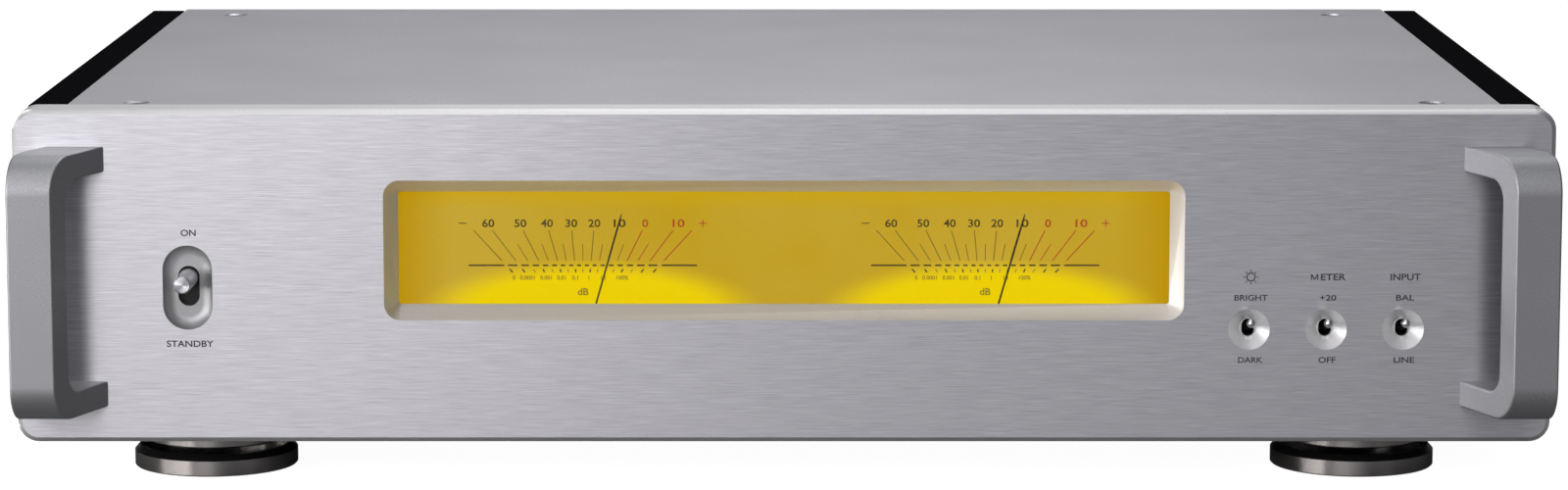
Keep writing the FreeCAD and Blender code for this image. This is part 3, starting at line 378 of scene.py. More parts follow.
# %% Panel plate
MERGE_GAP = 0.002 * MM
SMOOTH_BELOW = math.radians(12)
ALONG_AN_AXIS = 0.9999
FRONT_SKIN = 0.02 * MM
SHADED_BOWL_REACH = 10 * MM


def copy_of_node(name):
    """A copy of a CAD part's mesh with its doubled points merged, shaded smooth."""
    node = frame["nodes"][name]
    copy = bpy.data.objects.new(name, node.data.copy())
    bpy.context.scene.collection.objects.link(copy)
    select_only(copy)
    bpy.ops.object.mode_set(mode="EDIT")
    bpy.ops.mesh.select_all(action="SELECT")
    bpy.ops.mesh.remove_doubles(threshold=MERGE_GAP)
    bpy.ops.object.mode_set(mode="OBJECT")
    bpy.ops.object.shade_smooth_by_angle(angle=SMOOTH_BELOW)
    for face in copy.data.polygons:
        face.use_smooth = max(map(abs, face.normal)) < ALONG_AN_AXIS
    return copy


plate = hand_over(copy_of_node("front_panel"), "panel_plate", BRUSHED,
                  replaces=("front_panel",))
for material in (BLASTED, SHADED_POWER_BOWL):
    plate.data.materials.append(material)
for face in plate.data.polygons:
    if face.center.y > FACE_Y + FRONT_SKIN:
        # Blasted faces near the power switch take the darker copy, which paints shade into its bowl.
        face.material_index = 2 if abs(face.center.x - POWER_X) < SHADED_BOWL_REACH else 1
print("blasted faces", sum(face.material_index > 0 for face in plate.data.polygons))

# %% [markdown]
# ## Dial plate, lit from below
# The dial is a printed plate that lamps light from its lower edge: bright yellow in a low dome
# under each meter, deeper gold towards the top and the ends. It glows by itself here, because
# lamps behind a diffuser give a light with no visible source. An image could carry the glow, but
# it is simple enough to work out: its colour follows the distance from two points, one low under
# each meter, in a field that is stretched sideways.

# %% Dial material
DOME_SHIFT, DOME_BASE, DOME_HALF, DOME_TALL = 2 * MM, 50 * MM, 45 * MM, 14.2 * MM
DOME_OUTSIDE, DOME_INSIDE = 1.18, 0.74
TOP_FROM, TOP_BLEND, ENDS_FROM, ENDS_BLEND = 80 * MM, 7 * MM, 96 * MM, 16 * MM
HAZE_DEEP, HAZE_PALE = (0.52, 0.33, 0.012), (0.55, 0.37, 0.035)
TOP_GOLD, END_GOLD, DOME_YELLOW = (0.60, 0.37, 0.0), (0.50, 0.28, 0.0), (0.84, 0.62, 0.0)


def glowing_dial():
    material, tree, shader = blank_material("lit_dial")
    axes = place_axes(tree)
    domes = []
    for pivot in PIVOTS.values():
        offset = combine(tree, "SUBTRACT", axes["X"], number=pivot.x + DOME_SHIFT)
        wide = combine(tree, "DIVIDE", offset, number=DOME_HALF)
        rise = combine(tree, "SUBTRACT", axes["Z"], number=DOME_BASE)
        tall = combine(tree, "DIVIDE", rise, number=DOME_TALL)
        reach = distance(tree, wide, tall)
        edge = tree.nodes.new("ShaderNodeMapRange")
        edge.interpolation_type = "SMOOTHSTEP"
        edge.inputs["From Min"].default_value = DOME_OUTSIDE
        edge.inputs["From Max"].default_value = DOME_INSIDE
        tree.links.new(reach, edge.inputs["Value"])
        domes.append(edge.outputs["Result"])
    dome = combine(tree, "MAXIMUM", domes[0], domes[1])
    cloud = use_group(tree, HANDLING, Patches=14.0)
    haze = blend_colours(tree, cloud.outputs["Tone"], HAZE_DEEP, HAZE_PALE)
    top = step_beyond(tree, axes["Z"], TOP_FROM, TOP_BLEND)
    upper = blend_colours(tree, top, haze, TOP_GOLD)
    ends = step_beyond(tree, combine(tree, "ABSOLUTE", axes["X"]), ENDS_FROM, ENDS_BLEND)
    outer = blend_colours(tree, ends, upper, END_GOLD)
    glow = blend_colours(tree, dome, outer, DOME_YELLOW)
    tree.links.new(glow, shader.inputs["Emission Color"])
    shader.inputs["Emission Strength"].default_value = 1.0
    shader.inputs["Base Color"].default_value = (0.02, 0.015, 0.0, 1)
    shader.inputs["Specular IOR Level"].default_value = 0.0
    shader.inputs["Roughness"].default_value = 0.6
    return material


DIAL_FINISH = glowing_dial()
print("material", DIAL_FINISH.name)

# %% [markdown]
# ## Clear window
# The pane is polished acrylic: light goes through it and only a faint gloss stays on it. Its
# roughness follows soft handling marks, so a reflection breaks up a little where it was wiped.

# %% Window material
def clear_pane():
    material, tree, shader = blank_material("clear_acrylic")
    handling = use_group(tree, HANDLING, Patches=18.0)
    gloss = between(tree, handling.outputs["Tone"], 0.0, 0.03)
    tree.links.new(gloss, shader.inputs["Roughness"])
    shader.inputs["Base Color"].default_value = (1, 1, 1, 1)
    shader.inputs["Transmission Weight"].default_value = 1.0
    shader.inputs["IOR"].default_value = 1.2
    return material


PANE_FINISH = clear_pane()
print("material", PANE_FINISH.name)

# %% [markdown]
# ## Power lever
# The lever is turned from solid metal, so its end face carries fine rings around its own axis,
# which make the light stand on it in two wedges. A sine of the distance from the axis gives the
# rings. The plate that slides behind the slot is black plastic, though it is one part with the
# lever: a mask on the depth tells the two apart.

# %% Lever material
RING_PITCH, RING_DEPTH = 0.24 * MM, 0.012 * MM
LEVER_METAL = 17.9 * MM
LEVER_PLASTIC = (0.006, 0.006, 0.007)


def turned_lever():
    material, tree, shader = blank_material("turned_lever")
    low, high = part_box("power_lever")
    axes = place_axes(tree)
    aside = combine(tree, "SUBTRACT", axes["X"], number=(low.x + high.x) / 2)
    above = combine(tree, "SUBTRACT", axes["Z"], number=(low.z + high.z) / 2)
    turns = combine(tree, "MULTIPLY", distance(tree, aside, above), number=2 * math.pi / RING_PITCH)
    rings = combine(tree, "SINE", turns)
    metal = combine(tree, "LESS_THAN", axes["Y"], number=low.y + LEVER_METAL)
    tone = use_group(tree, GRAIN, Grains=4000.0).outputs["Tone"]
    bright = blend_colours(tree, tone, (0.56, 0.565, 0.58), (0.66, 0.665, 0.68))
    tree.links.new(blend_colours(tree, metal, LEVER_PLASTIC, bright), shader.inputs["Base Color"])
    tree.links.new(metal, shader.inputs["Metallic"])
    tree.links.new(between(tree, metal, 0.6, 0.30), shader.inputs["Roughness"])
    add_bump(tree, shader, combine(tree, "MULTIPLY", rings, metal), RING_DEPTH)
    return material


LEVER_FINISH = turned_lever()
print("material", LEVER_FINISH.name)

# %% [markdown]
# ## Every CAD part gets its finish
# The record gives each part a slot, such as heat sink or circuit board. Here each slot gets its
# material. The sizes of the grain follow the real process: bead blasting leaves pits of about a
# third of a millimetre, powder coat a softer orange peel, and polished metal almost nothing. The
# discs of the feet are turned, so their shader is anisotropic as well.

# %% Slot finishes
SLOT_FINISH = {
    "panel_aluminium": BRUSHED,
    "dial_gold": DIAL_FINISH,
    "window_acrylic": PANE_FINISH,
    "handle_aluminium": finish("blasted_handle", (0.375, 0.38, 0.39), 0.52, 1.0, 3000,
                               0.02 * MM, vary=0.2),
    "cover_aluminium": finish("blasted_cover", (0.57, 0.57, 0.59), 0.50, 1.0, 2600, 0.025 * MM,
                              vary=0.12),
    "heatsink_black": finish("black_anodised", (0.006, 0.006, 0.007), 0.7, 0.0, 2200,
                             0.02 * MM, specular=0.0),
    "chassis_black": finish("black_powder_coat", (0.02, 0.02, 0.021), 0.55, 0.0, 900, 0.05 * MM,
                            vary=0.2),
    "inner_steel": finish("zinc_steel", (0.52, 0.53, 0.54), 0.38, 1.0, 1200, 0.01 * MM),
    "screw_steel": finish("screw_steel", (0.30, 0.30, 0.31), 0.32, 1.0, 2600, 0.01 * MM),
    "lamp_white": finish("lamp_strip", (0.85, 0.80, 0.65), 0.5, 0.0, 2000, 0.01 * MM),
    "needle_black": finish("needle_black", (0.02, 0.016, 0.004), 0.6, 0.0, 4000, 0.002 * MM),
    "movement_grey": finish("moulded_grey", (0.14, 0.14, 0.15), 0.5, 0.0, 1500, 0.02 * MM),
    "switch_black": finish("moulded_black", (0.012, 0.012, 0.012), 0.45, 0.0, 1800, 0.02 * MM),
    "lever_metal": LEVER_FINISH,
    "toggle_chrome": finish("toggle_chrome", (0.78, 0.78, 0.79), 0.10, 1.0, 4000, 0.001 * MM),
    "foot_nickel": finish("dark_nickel", (0.50, 0.475, 0.45), 0.24, 1.0, 2600, 0.002 * MM),
    "foot_black": finish("foot_ring_black", (0.008, 0.008, 0.008), 0.30, 0.2, 2600, 0.004 * MM),
    "washer_rubber": finish("washer_rubber", (0.02, 0.02, 0.02), 0.8, 0.0, 1400, 0.04 * MM),
    "winding_tape": finish("winding_tape", (0.60, 0.40, 0.06), 0.35, 0.0, 600, 0.1 * MM),
    "capacitor_sleeve": finish("capacitor_sleeve", (0.012, 0.013, 0.03), 0.25, 0.0, 900,
                               0.01 * MM),
    "board_green": finish("circuit_board", (0.015, 0.10, 0.04), 0.30, 0.0, 700, 0.02 * MM,
                          vary=0.25),
    "socket_nickel": finish("satin_nickel", (0.46, 0.45, 0.44), 0.28, 1.0, 2600, 0.004 * MM),
    "latch_metal": finish("latch_metal", (0.6, 0.6, 0.6), 0.30, 1.0, 2600, 0.004 * MM),
    "contact_gold": finish("contact_gold", (0.85, 0.60, 0.22), 0.18, 1.0, 2600, 0.003 * MM),
    "cap_gold": finish("cap_gold", (0.83, 0.58, 0.21), 0.22, 1.0, 2600, 0.004 * MM),
    "lead_sleeve": finish("lead_sleeve", (0.025, 0.025, 0.027), 0.5, 0.0, 1500, 0.01 * MM),
}
for part in frame["record"]["subparts"]:
    node = frame["nodes"][part["node"]]
    node.data.materials.clear()
    node.data.materials.append(SLOT_FINISH[part["material_slot"]])
disc_shader = SLOT_FINISH["foot_nickel"].node_tree.nodes["Principled BSDF"]
disc_shader.inputs["Anisotropic"].default_value = 0.8
disc_shader.inputs["Anisotropic Rotation"].default_value = 0.25
print("finishes", len(SLOT_FINISH))

# %% [markdown]
# ## Printing
# Words on a panel are ink a few hundredths of a millimetre thick. They could be an image, but that
# blurs close up, so Blender's own text object makes the letters. Each word is made as high as its
# capitals should be, which a first letter H measures, given the thickness of ink and a slightly
# bolder outline, made a mesh, and then stretched to its width.

# %% Text helpers
INK_THICK = 0.02 * MM
INK_WEIGHT = 0.028
CURVE_STEPS = 4


def upright_text(words):
    bpy.ops.object.text_add(rotation=(math.radians(90), 0, 0))
    text = bpy.context.object
    text.data.body = words
    text.data.align_x = "CENTER"
    text.data.resolution_u = CURVE_STEPS
    return text


def capital_share():
    """The height of a capital in this font, for a text size of one."""
    letter = upright_text("H")
    select_only(letter)
    bpy.ops.object.convert(target="MESH")
    height = bpy.context.object.dimensions.y
    bpy.ops.object.delete()
    return height


CAPITAL = capital_share()


def word(words, x, y, z, capital, width=None, turn=0.0):
    """Ink whose middle is at x and z on the surface at y, as wide as given."""
    text = upright_text(words)
    text.data.size = capital / CAPITAL
    text.data.extrude = INK_THICK
    text.data.offset = INK_WEIGHT * capital
    select_only(text)
    bpy.ops.object.convert(target="MESH")
    piece = bpy.context.object
    if width:
        piece.scale.x = width / piece.dimensions.x
    piece.location = (x, y, z - capital / 2)
    piece.rotation_euler.z = turn
    bpy.ops.object.transform_apply(location=True, rotation=True, scale=True)
    return piece


print("a capital is", round(CAPITAL, 3), "of the text size")

# %% [markdown]
# A ruled line of ink is a thin bar between two points. It starts as a unit cube halfway between
# them, which is scaled to the line's width and length and then turned to lie along its direction.

# %% Line helper
def line(start, end, width, y):
    """A bar of ink from one (x, z) point to another."""
    run = Vector((end[0] - start[0], end[1] - start[1]))
    middle = ((start[0] + end[0]) / 2, y, (start[1] + end[1]) / 2)
    bpy.ops.mesh.primitive_cube_add(size=1, location=middle)
    bar = bpy.context.object
    bar.scale = (width, 2 * INK_THICK, run.length)
    bar.rotation_euler = (0, math.atan2(run.x, run.y), 0)
    select_only(bar)
    bpy.ops.object.transform_apply(location=True, rotation=True, scale=True)
    return bar


# %% [markdown]
# ## Panel lettering
# Each switch has plain words above and below it, in a wide dark grey type. Brightness has a sun:
# a ring with eight rays. The ring is a flat circle, inset in edit mode, with its middle deleted
# and the rest extruded to the thickness of ink. The M of METER is ruled from four bars, because
# the font's own M fills itself in when its outline is made bolder.

# %% Ink on the panel
INK_GRAINS, INK_BUMP = 5000, 0.001 * MM
PANEL_INK = finish("panel_ink", (0.035, 0.036, 0.042), 0.5, 0.0, INK_GRAINS, INK_BUMP)
INK_Y = FACE_Y - INK_THICK / 2
CAP_HEIGHT = 1.78 * MM
SMALL_CAP = 1.6 * MM
RING_SIDES = 40
SUN_RADIUS, SUN_LINE, RAY_LINE, RAY_FROM, RAY_TO = 1.35 * MM, 0.34 * MM, 0.3 * MM, 1.16, 1.57
M_WIDTH, M_LINE, M_SHIFT, ETER_SHIFT = 1.75 * MM, 0.32 * MM, 3.9 * MM, 1.35 * MM


def ring(x, y, z, radius, width, thick):
    """A flat ring that starts at depth y and is extruded by a thickness, backwards if positive."""
    bpy.ops.mesh.primitive_circle_add(vertices=RING_SIDES, radius=radius, fill_type="NGON",
                                      location=(x, y, z), rotation=(math.radians(90), 0, 0))
    band = bpy.context.object
    bpy.ops.object.mode_set(mode="EDIT")
    bpy.ops.mesh.inset(thickness=width)
    bpy.ops.mesh.delete(type="FACE")
    bpy.ops.mesh.select_all(action="SELECT")
    bpy.ops.mesh.extrude_region_move(TRANSFORM_OT_translate={"value": (0, thick, 0)})
    bpy.ops.mesh.select_all(action="SELECT")
    bpy.ops.mesh.normals_make_consistent(inside=False)
    bpy.ops.object.mode_set(mode="OBJECT")
    bpy.ops.object.transform_apply(location=True, rotation=True, scale=True)
    return band


def sun(x, z):
    band = ring(x, INK_Y, z, SUN_RADIUS, SUN_LINE, -INK_THICK)
    rays = []
    for step in range(8):
        turn = step * math.pi / 4
        ends = [(x + reach * SUN_RADIUS * math.sin(turn), z + reach * SUN_RADIUS * math.cos(turn))
                for reach in (RAY_FROM, RAY_TO)]
        rays.append(line(*ends, RAY_LINE, INK_Y))
    return join([band, *rays])


# %% [markdown]
# The words are set one under the other on the middle line of each switch: a title, the word for
# lever up, and the word for lever down. Only the title differs in kind, so each switch names the
# helper that makes its own. The words of one switch are joined into one piece.

# %% Words beside the switches


SWITCH_WORDS = {"brightness": (("BRIGHT", 9.6), ("DARK", 7.1)),
                "meter": (("+20", 4.8), ("OFF", 5.0)),
                "input": (("BAL", 5.3), ("LINE", 6.0))}
TITLE_RISE, UPPER_RISE, LOWER_DROP = 15.3 * MM, 9.25 * MM, 8.95 * MM
WORD_SHIFT = 0.4 * MM
ON_SHIFT, ON_RISE, STANDBY_DROP = 0.5 * MM, 15.95 * MM, 16.4 * MM


def panel_word(label, x, z, capital=SMALL_CAP):
    """A word on the panel. Its label is the letters and their width in millimetres."""
    words, width = label
    return word(words, x, INK_Y, z, capital, width * MM)


def letter_m(x, z):
    top, low = z + CAP_HEIGHT / 2, z - CAP_HEIGHT / 2
    bars = []
    for side in (x - M_WIDTH / 2, x + M_WIDTH / 2):
        bars.append(line((side, low), (side, top), M_LINE, INK_Y))
        bars.append(line((side, top - M_LINE / 3), (x, low + M_LINE / 2), M_LINE, INK_Y))
    return join(bars)


def meter_title(x, z):
    rest = panel_word(("ETER", 7.2), x + ETER_SHIFT, z, CAP_HEIGHT)
    return join([letter_m(x - M_SHIFT, z), rest])


def input_title(x, z):
    return panel_word(("INPUT", 8.7), x, z, CAP_HEIGHT)


TITLES = {"brightness": sun, "meter": meter_title, "input": input_title}
for name, (upper, lower) in SWITCH_WORDS.items():
    x = TOGGLE_XS[name] + WORD_SHIFT
    words = [TITLES[name](x, TOGGLE_Z + TITLE_RISE), panel_word(upper, x, TOGGLE_Z + UPPER_RISE),
             panel_word(lower, x, TOGGLE_Z - LOWER_DROP)]
    hand_over(join(words), f"{name}_lettering", PANEL_INK)
power_words = [panel_word(("ON", 4.4), POWER_X + ON_SHIFT, POWER_Z + ON_RISE, CAP_HEIGHT),
               panel_word(("STANDBY", 13.6), POWER_X + WORD_SHIFT, POWER_Z - STANDBY_DROP,
                          CAP_HEIGHT)]
hand_over(join(power_words), "power_lettering", PANEL_INK)

# %% [markdown]
# ## Meter scales
# Both meters carry the same scale, printed on the lit plate, so its inks glow a little too. There
# are three: a dark one, a finer brown one, and a red one for zero and above.

# %% Scale inks
def backlit_ink(name, colour, glow):
    material = finish(name, colour, 0.6, 0.0, INK_GRAINS, INK_BUMP)
    shader = material.node_tree.nodes["Principled BSDF"]
    shader.inputs["Emission Color"].default_value = (*glow, 1)
    shader.inputs["Emission Strength"].default_value = 1.0
    return material


DARK_INK = backlit_ink("dial_ink_dark", (0.02, 0.015, 0.0), (0.060, 0.040, 0.002))
FINE_INK = backlit_ink("dial_ink_fine", (0.03, 0.02, 0.0), (0.20, 0.13, 0.004))
RED_INK = backlit_ink("dial_ink_red", (0.05, 0.01, 0.0), (0.36, 0.05, 0.004))
INK_MATERIALS = {"dark": DARK_INK, "fine": FINE_INK, "red": RED_INK}
print("inks", [ink.name for ink in INK_MATERIALS.values()])

# %% [markdown]
# The marks point at the needle's pivot, one every 5.3 degrees, but they start and end on level
# lines, so the ends of each mark are worked out from its angle. Long marks carry numbers. Below
# the base line sit small bold marks and a row of numbers for the power in percent.

# %% Places on a scale
SCALE_Y = DIAL_Y - INK_THICK
STEP, FIRST_TURN = math.radians(5.3), math.radians(0.05)
BASE_Z, FOOT_Z, SHORT_Z, LONG_Z, NUMBER_Z = (
    level * MM for level in (64.05, 65.4, 70.3, 74.3, 76.4))
SMALL_TOP_Z, SMALL_FOOT_Z, SMALL_NUMBER_Z, UNIT_Z = (
    level * MM for level in (62.95, 61.95, 60.4, 56.3))
BASE_HALF, BASE_GAP, BASE_LINE = 33.2 * MM, 0.55 * MM, 0.5 * MM
LONG_LINE, SHORT_LINE, BOLD_LINE = 0.3 * MM, 0.26 * MM, 0.42 * MM
SIGN_SPREAD, NUMBER_SPREAD, SIGN_HALF = 1.025, 0.99, 1.15 * MM
NUMBER_CAP, SMALL_NUMBER_CAP, UNIT_CAP, UNIT_WIDTH = 2.15 * MM, 1.15 * MM, 1.95 * MM, 3.1 * MM
DIGIT_WIDTHS = {1: 1.7 * MM, 2: 3.5 * MM}
LONG_STEPS = {-8: "-", -7: "60", -5: "50", -3: "40", -1: "30", 1: "20", 3: "10", 5: "0", 7: "10",
              8: "+"}
SHORT_STEPS = (-6, -4, -2, 0, 2, 4, 6)
SMALL_NUMBERS = {-8.3: "0", -7.1: "0.0001", -5.1: "0.001", -3.1: "0.01", -1.1: "0.1", 0.9: "1",
                 2.95: "10", 5.4: "100%"}
RED_FROM = 5


def at_angle(pivot, angle, z):
    """The point on a ray from the pivot where it crosses a level."""
    return pivot.x + math.tan(angle) * (z - pivot.z), z


def angle_of(step):
    return STEP * step + FIRST_TURN


print("scale from", math.degrees(angle_of(-8)), "to", math.degrees(angle_of(8)), "degrees")


# %% [markdown]
# One helper rules a mark between two levels, and one puts a number, or a plus or minus made of
# bars, at the end of a long mark. Numbers lean a little inwards and signs outwards, so that they
# sit over the ends of their marks. A scale is then a walk over its steps, each piece sorted by
# the ink it is printed in.

# %% Marks of a scale
def mark(pivot, angle, low, high, width):
    """A mark that points at the pivot, between two levels."""
    return line(at_angle(pivot, angle, low), at_angle(pivot, angle, high), width, SCALE_Y)


def sign(label, x, z):
    """A minus, or a plus from two bars."""
    bars = [line((x - SIGN_HALF, z), (x + SIGN_HALF, z), LONG_LINE, SCALE_Y)]
    if label == "+":
        bars.append(line((x, z - SIGN_HALF), (x, z + SIGN_HALF), LONG_LINE, SCALE_Y))
    return bars


def number_or_sign(label, pivot, angle):
    if label.isdigit():
        x = at_angle(pivot, angle * NUMBER_SPREAD, NUMBER_Z)[0]
        return [word(label, x, SCALE_Y, NUMBER_Z, NUMBER_CAP, DIGIT_WIDTHS[len(label)])]
    return sign(label, at_angle(pivot, angle * SIGN_SPREAD, NUMBER_Z)[0], NUMBER_Z)


def scale_marks(pivot):
    """The pieces of one scale, by ink."""
    inks = {ink: [] for ink in INK_MATERIALS}
    for step, label in LONG_STEPS.items():
        angle, red = angle_of(step), step >= RED_FROM
        inks["red" if red else "fine"].append(mark(pivot, angle, FOOT_Z, LONG_Z, LONG_LINE))
        inks["red" if red else "dark"] += number_or_sign(label, pivot, angle)
        inks["dark"].append(mark(pivot, angle, SMALL_FOOT_Z, SMALL_TOP_Z, BOLD_LINE))
    for step in SHORT_STEPS:
        angle, red = angle_of(step), step > RED_FROM
        inks["red" if red else "fine"].append(mark(pivot, angle, FOOT_Z, SHORT_Z, SHORT_LINE))
        inks["fine"].append(mark(pivot, angle, SMALL_FOOT_Z, SMALL_TOP_Z, SHORT_LINE))
    for step, label in SMALL_NUMBERS.items():
        x = at_angle(pivot, angle_of(step), SMALL_NUMBER_Z)[0]
        inks["fine"].append(word(label, x, SCALE_Y, SMALL_NUMBER_Z, SMALL_NUMBER_CAP))
    inks["fine"].append(word("dB", pivot.x, SCALE_Y, UNIT_Z, UNIT_CAP, UNIT_WIDTH))
    return inks


# %% [markdown]
# The base line is broken at each mark, so it is ruled as many short bars. All pieces of one ink
# are joined, which gives three pieces to each meter.

# %% Both scales
def base_line(pivot):
    """The base line, broken where the marks would run through it."""
    stops = [pivot.x - BASE_HALF]
    for step in sorted([*LONG_STEPS, *SHORT_STEPS]):
        x = at_angle(pivot, angle_of(step), BASE_Z)[0]
        stops += [x - BASE_GAP, x + BASE_GAP]
    stops.append(pivot.x + BASE_HALF)
    return [line((start, BASE_Z), (end, BASE_Z), BASE_LINE, SCALE_Y)
            for start, end in zip(stops[::2], stops[1::2])]


for side, pivot in PIVOTS.items():
    inks = scale_marks(pivot)
    inks["dark"] += base_line(pivot)
    for ink, pieces in inks.items():
        hand_over(join(pieces), f"scale_{ink}_{side}", INK_MATERIALS[ink])

# %% [markdown]
# ## Rear panel printing
# The back has the plain marks any amplifier has: coloured rings around the line inputs and the
# speaker posts, red for the right channel or plus, and words in pale ink. Words on the back are
# turned half a turn about the vertical axis, so they read from behind.

# %% Rear rings and words
REAR_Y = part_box("rear_panel")[1].y
RING_THICK = 0.4 * MM
REAR_INK = finish("rear_ink", (0.62, 0.62, 0.60), 0.5, 0.0, INK_GRAINS, INK_BUMP)
RING_RED = finish("ring_red", (0.45, 0.015, 0.012), 0.4, 0.0, 3000, 0.004 * MM)
RING_WHITE = finish("ring_white", (0.75, 0.75, 0.72), 0.4, 0.0, 3000, 0.004 * MM)
RIGHT_INPUT_X, LEFT_INPUT_X, LINE_Z, INPUT_RING = 116, 150, 36, (6.6, 1.6)
POST_XS, POST_Z, POST_RING = (40, 10, -30, -60), 48, (11, 1.8)
REAR_CAP = 2.4
REAR_WORDS = (("LINE", 133, 25, REAR_CAP), ("BALANCED", 133, 93.5, REAR_CAP),
              ("R", 133, 41, REAR_CAP), ("L", 133, 32, REAR_CAP),
              ("TRIGGER", 78, 69, REAR_CAP), ("IN", 87, 60, 2.0), ("OUT", 88, 44, 2.0),
              ("SPEAKERS", -10, 68, 3.0), ("RIGHT", 25, 32, REAR_CAP),
              ("LEFT", -45, 32, REAR_CAP), ("AC IN", -140, 71, 2.6),
              *((label, x, 63.4, 3.2) for x, label in zip(POST_XS, "+--+")))


def rear_ring(x, z, sizes):
    """A ring on the back. Its sizes are its radius and its width, all in millimetres."""
    radius, width = sizes
    return ring(x * MM, REAR_Y, z * MM, radius * MM, width * MM, RING_THICK)


def rear_word(words, x, z, capital):
    return word(words, x * MM, REAR_Y + INK_THICK / 2, z * MM, capital * MM, turn=math.pi)


red_rings = [rear_ring(RIGHT_INPUT_X, LINE_Z, INPUT_RING),
             *(rear_ring(x, POST_Z, POST_RING) for x in POST_XS[::3])]
white_rings = [rear_ring(LEFT_INPUT_X, LINE_Z, INPUT_RING),
               *(rear_ring(x, POST_Z, POST_RING) for x in POST_XS[1:3])]
hand_over(join(red_rings), "rear_rings_red", RING_RED)
hand_over(join(white_rings), "rear_rings_white", RING_WHITE)
rear_words = [rear_word(*label) for label in REAR_WORDS]
hand_over(join(rear_words), "rear_lettering", REAR_INK)

# %% [markdown]
# ## Floor
# A plain pale floor runs back to the horizon. A white floor bright enough to look white would
# also light the amplifier from below, as a real studio avoids with dark cards. So the floor is a
# middling grey to all other light, and glows almost white only where the camera looks at it.

# %% Floor
FLOOR_SIZE, FLOOR_GREY, FLOOR_SEEN = 30, 0.25, 0.97
bpy.ops.mesh.primitive_plane_add(size=FLOOR_SIZE, location=(0, 0, 0))
floor = bpy.context.object
floor.name = "floor"


def light_for_camera(tree, seen, unseen):
    """A brightness that is one number where the camera looks and another for all other light."""
    path = tree.nodes.new("ShaderNodeLightPath")
    return between(tree, path.outputs["Is Camera Ray"], unseen, seen)


floor_material, floor_tree, floor_shader = blank_material("pale_floor")
floor_shader.inputs["Base Color"].default_value = (FLOOR_GREY, FLOOR_GREY, FLOOR_GREY, 1)
floor_shader.inputs["Roughness"].default_value = 0.9
floor_shader.inputs["Emission Color"].default_value = (1, 1, 1, 1)
floor_tree.links.new(light_for_camera(floor_tree, FLOOR_SEEN, 0.0),
                     floor_shader.inputs["Emission Strength"])
floor.data.materials.append(floor_material)
print("floor", FLOOR_SIZE, "m wide")

# %% [markdown]
# ## Lights
# Six soft boxes light the amplifier. The key stands in front, a little to the left. A wide, low
# one close to the left end rakes along the panel and brightens the handles and bevels that face
# it. One above the front lights the upper edges, and one overhead lights the cover. A weak fill
# on the right keeps the shadows open, and the last one is for the back.

# %% Lights
FACE_MIDDLE = (0, -0.14, 0.06)
KEY_COLOUR = (1.0, 0.98, 1.0)


def soft_box(name, place, target, size, power, colour=(1, 1, 1)):
    bpy.ops.object.light_add(type="AREA", location=place)
    lamp = bpy.context.object
    lamp.name = name
    lamp.data.shape = "RECTANGLE"
    lamp.data.size, lamp.data.size_y = size
    lamp.data.energy = power
    lamp.data.color = colour
    direction = Vector(target) - Vector(place)
    lamp.rotation_euler = direction.to_track_quat("-Z", "Y").to_euler()
    print(name, "at", place, "power", power)


soft_box("key", (-0.55, -2.2, 0.45), FACE_MIDDLE, (0.8, 0.8), 2.4, KEY_COLOUR)
soft_box("near_left", (-0.88, -0.64, 0.17), (-0.1, -0.14, 0.06), (0.75, 0.3), 5.6, KEY_COLOUR)
soft_box("front_top", (-0.35, -0.6, 1.4), (0, 0, 0.1), (1.0, 0.6), 1.1, (0.98, 0.99, 1.0))
soft_box("overhead", (0, 0.28, 1.0), (0, 0.1, 0.1), (0.4, 0.4), 3.4, (0.98, 0.98, 1.0))
soft_box("fill", (1.5, -1.4, 0.5), FACE_MIDDLE, (0.6, 0.8), 0.4, (0.93, 0.97, 1.0))
soft_box("back", (0, 2.0, 2.0), (0, 0.15, 0.06), (1.4, 1.0), 6)

# %% [markdown]
# ## Room
# The room itself is the largest light. Its brightness falls from left to right in front of the
# amplifier, and a long brushed panel, which mirrors the room in one direction only, shows that
# fall along its whole width. Where the camera looks straight at the room, it is plain white.

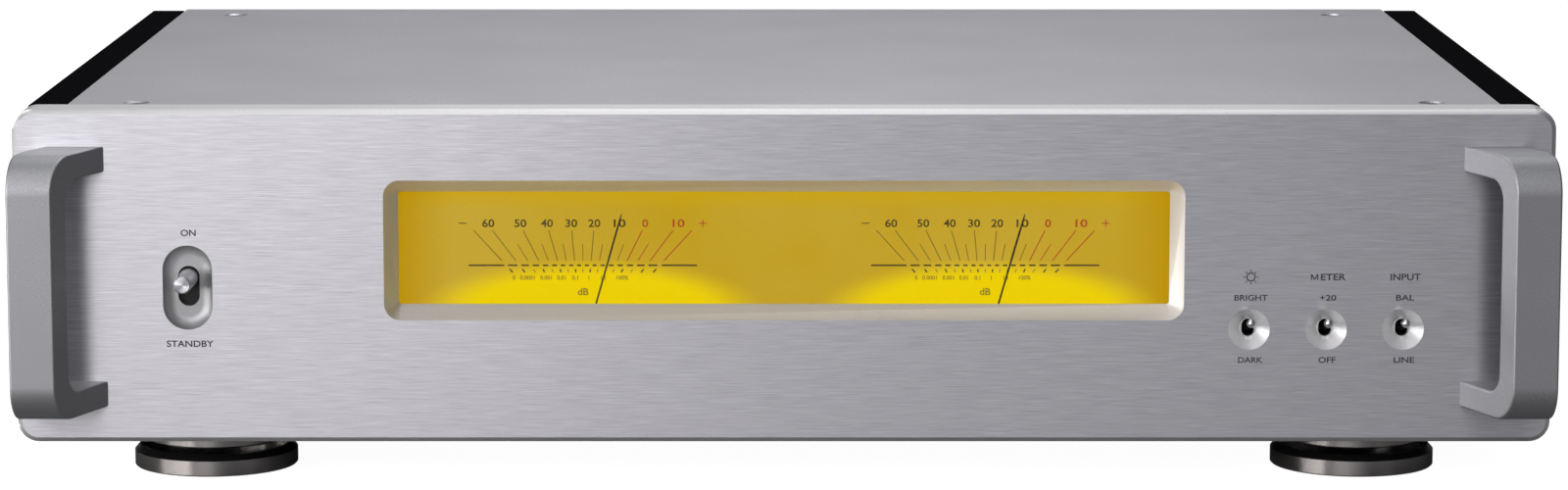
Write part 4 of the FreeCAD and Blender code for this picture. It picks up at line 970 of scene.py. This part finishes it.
# %% Room
ROOM_DIM, ROOM_BRIGHT = 0.12, 1.4
ROOM_COOL, ROOM_WARM = (0.93, 0.97, 1.05), (1.0, 0.98, 1.02)
world = bpy.data.worlds.new("studio")
bpy.context.scene.world = world
world.use_nodes = True
room = world.node_tree
directions = room.nodes.new("ShaderNodeSeparateXYZ")
room.links.new(room.nodes.new("ShaderNodeTexCoord").outputs["Generated"], directions.inputs[0])


def room_fall(axis, dark_end, bright_end):
    """0 to 1 as a direction's part along one axis goes from one number to another."""
    node = room.nodes.new("ShaderNodeMapRange")
    node.interpolation_type = "SMOOTHSTEP"
    node.inputs["From Min"].default_value = dark_end
    node.inputs["From Max"].default_value = bright_end
    room.links.new(directions.outputs[axis], node.inputs["Value"])
    return node.outputs["Result"]


leftwards = room_fall("X", 0.34, -0.12)
ahead = combine(room, "MULTIPLY", room_fall("Y", 0.0, -0.5), room_fall("X", -1.0, -0.5))
glow = combine(room, "MULTIPLY", leftwards, ahead)
strength = between(room, glow, ROOM_DIM, ROOM_BRIGHT)
path = room.nodes.new("ShaderNodeLightPath")
seen = room.nodes.new("ShaderNodeMix")
room.links.new(path.outputs["Is Camera Ray"], seen.inputs["Factor"])
room.links.new(strength, seen.inputs["A"])
seen.inputs["B"].default_value = 1.0
background = room.nodes["Background"]
room.links.new(seen.outputs["Result"], background.inputs["Strength"])
room.links.new(blend_colours(room, leftwards, ROOM_COOL, ROOM_WARM), background.inputs["Color"])
bpy.context.scene.view_settings.view_transform = "Standard"
print("room from", ROOM_DIM, "to", ROOM_BRIGHT)

# %% [markdown]
# ## Camera
# A long lens stands a little above the amplifier and looks slightly down, which keeps the front
# nearly square and still shows the cover. A short lens close by would spread the corners. Its
# distance is counted from the panel's face and its height from the floor.

# %% Camera
CAMERA_AWAY, CAMERA_HEIGHT, CAMERA_PITCH = 1.389, 0.2741, 8.289
LENS, FILM_WIDTH, FAR_END = 111.84, 36, 50
bpy.ops.object.camera_add(location=(0, FACE_Y - CAMERA_AWAY, CAMERA_HEIGHT),
                          rotation=(math.radians(90 - CAMERA_PITCH), 0, 0))
camera = bpy.context.object
camera.data.lens = LENS
camera.data.sensor_width = FILM_WIDTH
camera.data.clip_end = FAR_END
bpy.context.scene.camera = camera
print("camera", tuple(camera.location))
